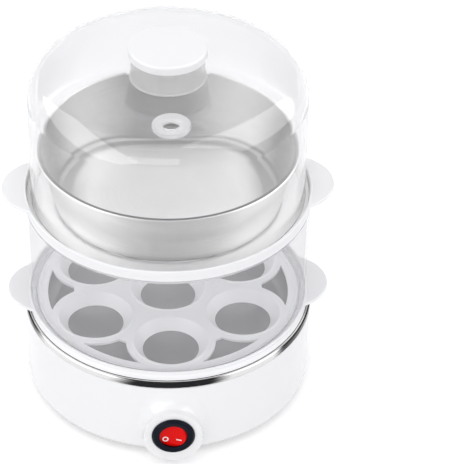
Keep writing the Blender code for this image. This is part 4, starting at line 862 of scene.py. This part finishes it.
def window_cutter(floor, outer):
    """The six steam windows of a tray as one cutting tool with rounded corners."""
    web, pitch = in_mm("trays", "web", "pitch")
    inner, low, high = 56.0, floor - 4.0, floor + 3.0
    cutter = turned("windows", [(inner, low), (outer, low), (outer, high), (inner, high)], 72)
    # Both turns keep the corners of the ring, the rods and the tray off each other.
    moved(cutter, turn=(0, 0, radians(2.5)))
    for k, place in enumerate(seat_places(pitch)[1:]):
        keep = rod("keep", web, floor - 6.0, floor + 6.0, 40)
        cut_away(cutter, moved(keep, place, (0, 0, radians(60 * k - 90 + 4.5))))
    open_mesh(cutter)
    rounded(lambda edge: (edge.verts[0].co - edge.verts[1].co).xy.length < NEAR and bends(edge, 40), 1.5, 4)
    close_mesh()
    return cutter


def tab_pair(rim, top, reach, half_width):
    """The two lobed tabs at a tray's sides."""
    under, root = top - 1.8, rim - 0.8
    rise = reach - root * cos(asin(half_width / root))
    lobe = (half_width ** 2 + rise ** 2) / (2 * rise)
    tabs = []
    for side in (-1, 1):
        tab = turned("tab", [(0, under), (lobe, under, 0.5), (lobe, top, 0.7), (0, top)], 64)
        moved(tab, (side * (reach - lobe), 0, 0))
        tabs.append(cut_away(tab, rod("tab_root", root, top - 4, top + 4, 128)))
    return tabs


def seated_tray(name, corners, floor, window, *parts):
    """A tray with its windows, seat holes, seat funnels and the parts that are added to it."""
    pitch, seat, mouth, depth, inner = in_mm("trays", "pitch", "seat", "mouth", "depth", "window")
    tray = turned(name, corners)
    cut_away(tray, window_cutter(floor, window))
    for place in seat_places(pitch):
        cut_away(tray, moved(rod("seat_hole", seat + 0.5, floor - 5, floor + 5, 64), place))
    open_mesh(tray)
    rounded(lambda edge: bends(edge, 60) and all(
        abs(v.co.z - floor * MM) < NEAR and hypot(v.co.x, v.co.y) < (inner + 0.8) * MM for v in edge.verts
    ), 0.35, 2)
    close_mesh()
    combined(tray, "UNION", *parts)
    wall, lip = 1.8, floor + 0.5
    end = lip - depth
    funnel = turned("funnel", [
        (seat, lip, 0.4), (seat + wall, lip, 0.5), (mouth + wall, end, 0.3), (mouth, end, 0.3),
    ], 64)
    return joined(*copies(funnel, seat_places(pitch)), tray)


class EGGCOOKER_OT_lower_tray(bpy.types.Operator):
    """Builds the lower tray with its centring foot"""

    bl_idname = "egg_cooker.lower_tray"
    bl_label = "Lower tray"

    def execute(self, context):
        window, reach = in_mm("trays", "window", "lower_reach")
        wall, floor, rim, top, skirt = 1.6, 57.8, 83.0, 61.5, 55.75
        inner, foot, foot_end = rim - wall, 75.0, 53.5
        tray = seated_tray("tray_lower", [
            (0, floor), (foot, floor, 0.3), (foot + 0.3, floor + 0.6, 0.3), (foot + 1.3, floor + 0.6, 0.3),
            (foot + wall, floor, 0.3), (inner, floor, 0.8), (inner, top, 0.7), (rim, top, 0.7),
            (rim, skirt, 0.2), (inner, skirt), (inner, floor - wall), (foot + wall, floor - wall),
            (foot + wall, foot_end, 0.5), (foot, foot_end, 0.5), (foot, floor - wall), (0, floor - wall),
        ], floor, window, *tab_pair(rim, top - 0.2, reach, 23.5))
        milk = finish_of("tray_milk_lower", milky_moulding, colour_of("tray"), floor)
        dressed(tray, milk, "lower_tray", "tray_plastic", "lower_tray")
        return {"FINISHED"}


class EGGCOOKER_OT_upper_tray(bpy.types.Operator):
    """Builds the upper tray with the ledge that centres the bowl"""

    bl_idname = "egg_cooker.upper_tray"
    bl_label = "Upper tray"

    def execute(self, context):
        window, reach = in_mm("trays", "upper_window", "upper_reach")
        wall, floor, rim, top, shelf, skirt = 1.6, 125.7, 83.5, 134.4, 128.8, 127.2
        inner, foot_end = 79.0, 123.9
        root, step, stop, ledge_top = 124.6, 126.35, 65.6, 127.1
        ledge = turned("bowl_ledge", [
            (stop - 2.0, root), (stop - 2.0, step), (stop, step), (stop, ledge_top, 0.5),
            (inner + 0.6, ledge_top), (inner + 0.6, root),
        ])
        tray = seated_tray("tray_upper", [
            (0, floor), (inner, floor, 0.5), (inner, shelf, 0.6), (rim - wall, shelf, 0.6),
            (rim - wall, top, 0.7), (rim, top, 0.7), (rim, 131.3, 0.3), (rim - 0.5, 130.8, 0.3),
            (rim - 0.5, skirt, 0.5), (inner + wall, skirt), (inner + wall, foot_end, 0.4),
            (inner + 0.2, foot_end), (inner, floor - wall), (0, floor - wall),
        ], floor, window, *tab_pair(rim, top - 0.2, reach, 25.0), ledge)
        milk = finish_of("tray_milk_upper", milky_moulding, colour_of("tray"), floor)
        dressed(tray, milk, "upper_tray", "tray_plastic", "upper_tray")
        return {"FINISHED"}


# Ring, bowl, lid and knob

class EGGCOOKER_OT_steam_ring(bpy.types.Operator):
    """Builds the frosted steam ring between the trays"""

    bl_idname = "egg_cooker.steam_ring"
    bl_label = "Steam ring"

    def execute(self, context):
        wall, flare = in_mm("upper", "ring_wall", "ring_flare")
        foot, low, rim, high, bend, edge = 78.5, 58.1, 82.7, 126.9, 18.0, 1.3
        steps = [k / 8 for k in range(9)]
        outside = [(foot + flare * sin(step * pi / 2), low + bend * step) for step in steps]
        outside[0] += (0.5,)
        outside.append((rim, high, 0.5))
        inside = [(corner[0] - wall, *corner[1:]) for corner in reversed(outside)]
        ring = turned("ring_wall", outside + inside)
        edges = ((low + edge, foot - wall / 2), (high - edge, rim - wall / 2))
        frost = finish_of("ring_frost", frosted_wall, colour_of("wall"), 0.19, edges)
        dressed(ring, frost, "steam_ring", "frosted_plastic", "steam_ring")
        return {"FINISHED"}


class EGGCOOKER_OT_bowl(bpy.types.Operator):
    """Builds the steel steaming bowl"""

    bl_idname = "egg_cooker.bowl"
    bl_label = "Steam bowl"

    def execute(self, context):
        sheet, = in_mm("upper", "bowl_sheet")
        foot, bottom, corner, wall_top, hem, rim, top = 65.0, 126.5, 4.2, 73.3, 162.4, 75.0, 163.6
        bowl = turned("bowl_shell", [
            (0, bottom + sheet), (foot - 0.75 * sheet, bottom + sheet, corner - sheet),
            (wall_top - sheet, top, 0.4), (rim, top, 0.5), (rim, hem, 0.4), (wall_top, hem, 0.3),
            (foot, bottom, corner), (0, bottom),
        ])
        lean = (wall_top - foot) / (hem - bottom)
        steel = finish_of(
            "bowl_steel", brushed_steel, colour_of("bowl"), 0.36, foot - sheet / 2, bottom, lean
        )
        dressed(bowl, steel, "bowl", "stainless", "steam_bowl")
        return {"FINISHED"}


class EGGCOOKER_OT_lid(bpy.types.Operator):
    """Builds the clear lid with its hollow top, and the frosted grip ring and steam vent on it"""

    bl_idname = "egg_cooker.lid"
    bl_label = "Lid"

    def execute(self, context):
        wall, dip, shoulder = in_mm("upper", "lid_wall", "lid_dip", "shoulder")
        top, side, flange, flange_top, foot = 208.5, 79.2, 81.5, 130.7, 129.1
        grip, grip_wall, grip_top, root = 20.9, 2.0, 222.0, 208.4
        span = side - shoulder - grip
        crown = [(grip + span * k / 12, top + dip * (1 - (1 - k / 12) ** 1.4)) for k in range(1, 12)]
        lid = turned("lid_shell", [
            (SCREW_BORE, top, 0.3), (grip, top, 2.0), *crown, (side, top + dip, shoulder),
            (side, flange_top, 0.5), (flange, flange_top, 0.4), (flange, foot, 0.4), (side - wall, foot, 0.3),
            (side - wall, top + dip - wall, shoulder - wall),
            *[(radius, height - wall) for radius, height in reversed(crown)],
            (grip, top - wall), (SCREW_BORE, top - wall, 0.3),
        ], settings().stage.sides * 3 // 2)
        hole, vent_rim, vent_foot, vent_top, place = 4.7, 10.6, 209.6, 212.7, (0, -54.0, 0)
        cut_away(lid, moved(rod("vent_hole", hole, top - 8.5, top + 11.5, 48), place))
        clear = finish_of("lid_clear", clear_moulding, colour_of("lid"))
        dressed(lid, clear, "lid", "clear_plastic", "lid_dome")
        ring = turned("lid_grip", [
            (grip - grip_wall, root), (grip - grip_wall, grip_top, 0.4), (grip, grip_top, 0.5),
            (grip, root + 1.0), (grip + 1.0, root),
        ], 96)
        frost = finish_of("grip_frost", frosted_wall, colour_of("grip"), 0.32)
        dressed(ring, frost, "lid", "clear_plastic")
        vent = turned("lid_vent", [
            (hole, vent_foot), (hole, vent_foot + 0.9, 0.2), (vent_rim - 1.0, vent_top, 0.3),
            (vent_rim, vent_top, 0.5), (vent_rim, vent_foot),
        ], 64)
        frost = finish_of("vent_frost", frosted_wall, colour_of("vent"), 0.4)
        dressed(moved(vent, place), frost, "lid", "clear_plastic")
        return {"FINISHED"}


class EGGCOOKER_OT_knob(bpy.types.Operator):
    """Builds the white cap of the knob"""

    bl_idname = "egg_cooker.knob"
    bl_label = "Knob cap"

    def execute(self, context):
        radius, = in_mm("upper", "knob")
        under, plug, plug_foot, roof = 222.3, 18.6, 220.3, 224.8
        stem, stem_foot, screw_end = 4.2, 208.8, 217.1
        cap = turned("knob_top", [
            (0, 227.99), (radius * 0.4, 227.95), (radius * 0.75, 227.85), (radius, 227.6, 1.3),
            (radius, under, 0.5), (plug, under), (plug, plug_foot, 0.3), (plug - 2.2, plug_foot),
            (plug - 2.2, roof), (stem, roof), (stem, stem_foot, 0.3), (SCREW_BORE, stem_foot),
            (SCREW_BORE, screw_end), (0, screw_end),
        ], 96)
        dressed(cap, white_finish(), "lid", "white_plastic", "knob_cap")
        return {"FINISHED"}


# Switch and gland

class EGGCOOKER_OT_switch(bpy.types.Operator):
    """Builds the switch frame and its red rocker"""

    bl_idname = "egg_cooker.switch"
    bl_label = "Switch"

    def execute(self, context):
        height, bezel, mouth, ball = in_mm("switch", "height", "bezel", "mouth", "ball")
        barrel, back, flange, gap = 10.6, 78.7, 93.3, 0.3
        rim = turned("switch_bezel", [
            (mouth, 94.6, 0.3), (bezel - 1.7, 95.2, 0.9), (bezel, flange, 0.3), (barrel, flange),
            (barrel, back, 0.3), (ball + gap, back), (ball + gap, 93.0), (mouth, 93.8),
        ], 96)
        moved(rim, (0, 0, height), (pi / 2, 0, 0))
        black = finish_of("bezel_gloss", gloss_moulding, colour_of("bezel"), 0.3, shine=0.08, coat=0.0)
        dressed(rim, black, "base", "black_plastic", "switch_body")
        only()
        bpy.ops.mesh.primitive_uv_sphere_add(segments=64, ring_count=40, radius=ball * MM)
        rocker = bpy.context.object
        rocker.name = "rocker_cap"
        open_mesh(rocker)
        for cut, outside in ((4.1, True), (-3.0, False)):
            pick_all()
            bpy.ops.mesh.bisect(
                plane_co=(0, 0, cut * MM), plane_no=(0, 0, 1), use_fill=True, clear_outer=outside,
                clear_inner=not outside,
            )
        close_mesh()
        scoop, scoop_floor, pivot = 26.0, 2.9, 90.0
        hollow = rod("hollow", scoop, -20.0, 20.0, 160)
        cut_away(rocker, moved(hollow, (0, 0, scoop + scoop_floor), (pi / 2, 0, 0)))
        open_mesh(rocker)
        rounded(lambda edge: bends(edge, 35) and min(v.co.z for v in edge.verts) > 1.5 * MM, 0.35, 3)
        close_mesh()
        moved(rocker, (0, -pivot, height), (pi / 2, 0, -settings().switch.tilt))
        tints = colour_of("rocker"), colour_of("marks")
        red = finish_of("rocker_gloss", rocker_moulding, *tints, height - 3.0)
        dressed(rocker, red, "rocker", "red_plastic", "switch_rocker")
        return {"FINISHED"}


class EGGCOOKER_OT_gland(bpy.types.Operator):
    """Builds the empty cord gland at the back"""

    bl_idname = "egg_cooker.gland"
    bl_label = "Cord gland"

    def execute(self, context):
        hole, neck, body, flange = 3.3, 5.0, 6.4, 8.0
        root, catch, face, end = 79.3, 81.5, 87.3, 95.2
        gland = turned("gland_body", [
            (hole, root, 0.3), (body, root, 0.4), (body, catch, 0.3), (neck, catch), (neck, face),
            (flange, face, 0.3), (flange, face + 2.4, 0.5), (body, face + 2.4, 0.5),
            (body - 1.0, end, 0.5), (hole, end, 0.4),
        ], 64)
        moved(gland, (0, 0, BOSS_AXIS), (-pi / 2, 0, 0))
        dressed(gland, white_finish(), "base", "white_plastic", "cord_gland")
        return {"FINISHED"}


class EGGCOOKER_OT_works(bpy.types.Operator):
    """Gives the kept solids inside the base and under the knob their finishes"""

    bl_idname = "egg_cooker.works"
    bl_label = "Inner works"

    def execute(self, context):
        finishes = {
            "white_plastic": white_finish(),
            "zinc_steel": finish_of("zinc_plate", plated_metal, (0.66, 0.66, 0.64), 0.38),
            "heater_steel": finish_of("heater_sheath", plated_metal, (0.2, 0.19, 0.18), 0.5),
            "stainless": finish_of("fitting_steel", plated_metal, (0.62, 0.62, 0.62), 0.3),
            "brass": finish_of("terminal_brass", plated_metal, (0.72, 0.52, 0.22), 0.32),
            "ceramic": finish_of("fired_ceramic", dull_body, (0.74, 0.71, 0.64), 0.55, 900.0, 0.03),
            "rubber": rubber_finish(),
            "lead_brown": finish_of("lead_brown_sleeve", dull_body, (0.15, 0.055, 0.02), 0.45, 1500.0, 0.01),
            "lead_blue": finish_of("lead_blue_sleeve", dull_body, (0.02, 0.08, 0.32), 0.45, 1500.0, 0.01),
        }
        slots = {part["node"]: part["material_slot"] for part in frame["record"]["subparts"]}
        for name, node in frame["nodes"].items():
            if node.hide_render or slots.get(name) not in finishes:
                continue
            for slot in node.material_slots:
                slot.material = finishes[slots[name]]
        return {"FINISHED"}


# Stage

def softbox(name, place, along, size, power, only_gloss=False):
    """A softbox that faces the object, its first side along a direction."""
    data = bpy.data.lights.new(name, "AREA")
    data.shape = "RECTANGLE"
    data.size, data.size_y = size
    data.energy = power
    lamp = bpy.data.objects.new(name, data)
    bpy.context.collection.objects.link(lamp)
    lamp.visible_diffuse = not only_gloss
    back = (Vector(place) - Vector((0, 0, 0.2))).normalized()
    side = (Vector(along) - back * back.dot(Vector(along))).normalized()
    turn = Matrix((side, back.cross(side), back)).transposed()
    lamp.matrix_world = Matrix.Translation(place) @ turn.to_4x4()


def set_floor():
    """A floor that shows white, keeps the object's shadow and is clear from below."""
    only()
    bpy.ops.mesh.primitive_plane_add(size=12.0, location=(0, 0, -0.0002))
    floor = bpy.context.object
    floor.name = "floor"
    f = Finish("floor_white")
    matt = f.shader(f.tint(f.noise(3.0, 3.0), (0.8, 0.8, 0.8), (0.82, 0.82, 0.82)), 0.7)
    glow = f.add("ShaderNodeEmission", values={"Color": (1, 1, 1, 1), "Strength": f.seen() * 0.3})
    white = f.add("ShaderNodeAddShader", values=(matt, glow))
    from_below = f.add("ShaderNodeNewGeometry", out="Backfacing")
    floor.data.materials.append(f.done(f.mixed(from_below, white, f.clear())))


def set_room(scene):
    """Even light from all round, and plain white where the camera sees the room."""
    f = Finish("room", bpy.data.worlds)
    even = f.add("ShaderNodeBackground", values=((0.98, 0.98, 1.0, 1), settings().stage.room))
    white = f.add("ShaderNodeBackground", values=((1, 1, 1, 1), 1.0))
    scene.world = f.done(f.mixed(f.seen(), even, white), "ShaderNodeOutputWorld")


def set_camera(scene):
    """The camera at the photograph's viewing angle."""
    stage = settings().stage
    data = bpy.data.cameras.new("photo_view")
    data.lens = stage.lens
    data.shift_x = stage.shift
    camera = bpy.data.objects.new("photo_view", data)
    scene.collection.objects.link(camera)
    turn = stage.azimuth
    camera.location = (-stage.distance * sin(turn), -stage.distance * cos(turn), stage.height)
    look = Vector((0, 0, stage.aim)) - camera.location
    camera.rotation_euler = look.to_track_quat("-Z", "Y").to_euler()
    scene.camera = camera


class EGGCOOKER_OT_stage(bpy.types.Operator):
    """Sets the floor, the soft lamps, the room light and the camera"""

    bl_idname = "egg_cooker.stage"
    bl_label = "Stage"

    def execute(self, context):
        set_floor()
        softbox("lamp_left", (-1.02, -0.27, 0.76), (-0.065, 0.91, 0.41), (2.92, 1.01), 20, True)
        softbox("lamp_right", (1.32, 0.09, 1.46), (0.789, -0.246, -0.563), (2.68, 2.37), 42, True)
        softbox("lamp_front", (-0.5, -2.2, 1.1), (1, 0, 0), (1.6, 1.0), 7)
        softbox("lamp_top", (-0.3, -0.2, 2.2), (1, 0, 0), (1.6, 1.6), 6)
        set_room(context.scene)
        set_camera(context.scene)
        context.scene.view_settings.view_transform = "Standard"
        return {"FINISHED"}


OPERATORS = (
    EGGCOOKER_OT_base, EGGCOOKER_OT_feet, EGGCOOKER_OT_dish, EGGCOOKER_OT_lower_tray,
    EGGCOOKER_OT_steam_ring, EGGCOOKER_OT_upper_tray, EGGCOOKER_OT_bowl, EGGCOOKER_OT_lid,
    EGGCOOKER_OT_knob, EGGCOOKER_OT_switch, EGGCOOKER_OT_gland, EGGCOOKER_OT_works, EGGCOOKER_OT_stage,
)
GROUPS = (
    EggCookerColours, EggCookerBaseSizes, EggCookerTraySizes, EggCookerUpperSizes, EggCookerSwitchSizes,
    EggCookerStage, EggCookerSettings,
)


class EGGCOOKER_PT_panel(bpy.types.Panel):
    """Sizes, colours and steps of the egg cooker"""

    bl_idname = "EGGCOOKER_PT_panel"
    bl_label = "Egg cooker"
    bl_space_type = "VIEW_3D"
    bl_region_type = "UI"
    bl_category = "Egg cooker"

    def draw(self, context):
        for part in EggCookerSettings.__annotations__:
            chosen, box = getattr(settings(), part), self.layout.box()
            for name in chosen.__annotations__:
                box.prop(chosen, name)
        for step in OPERATORS:
            self.layout.operator(step.bl_idname)


def register():
    for kind in (*GROUPS, *OPERATORS, EGGCOOKER_PT_panel):
        bpy.utils.register_class(kind)
    bpy.types.Scene.egg_cooker = PointerProperty(type=EggCookerSettings, name="Egg cooker")


def unregister():
    del bpy.types.Scene.egg_cooker
    for kind in reversed((*GROUPS, *OPERATORS, EGGCOOKER_PT_panel)):
        bpy.utils.unregister_class(kind)


def main():
    register()
    for step in OPERATORS:
        space, name = step.bl_idname.split(".")
        getattr(getattr(bpy.ops, space), name)()


if __name__ == "__main__":
    main()
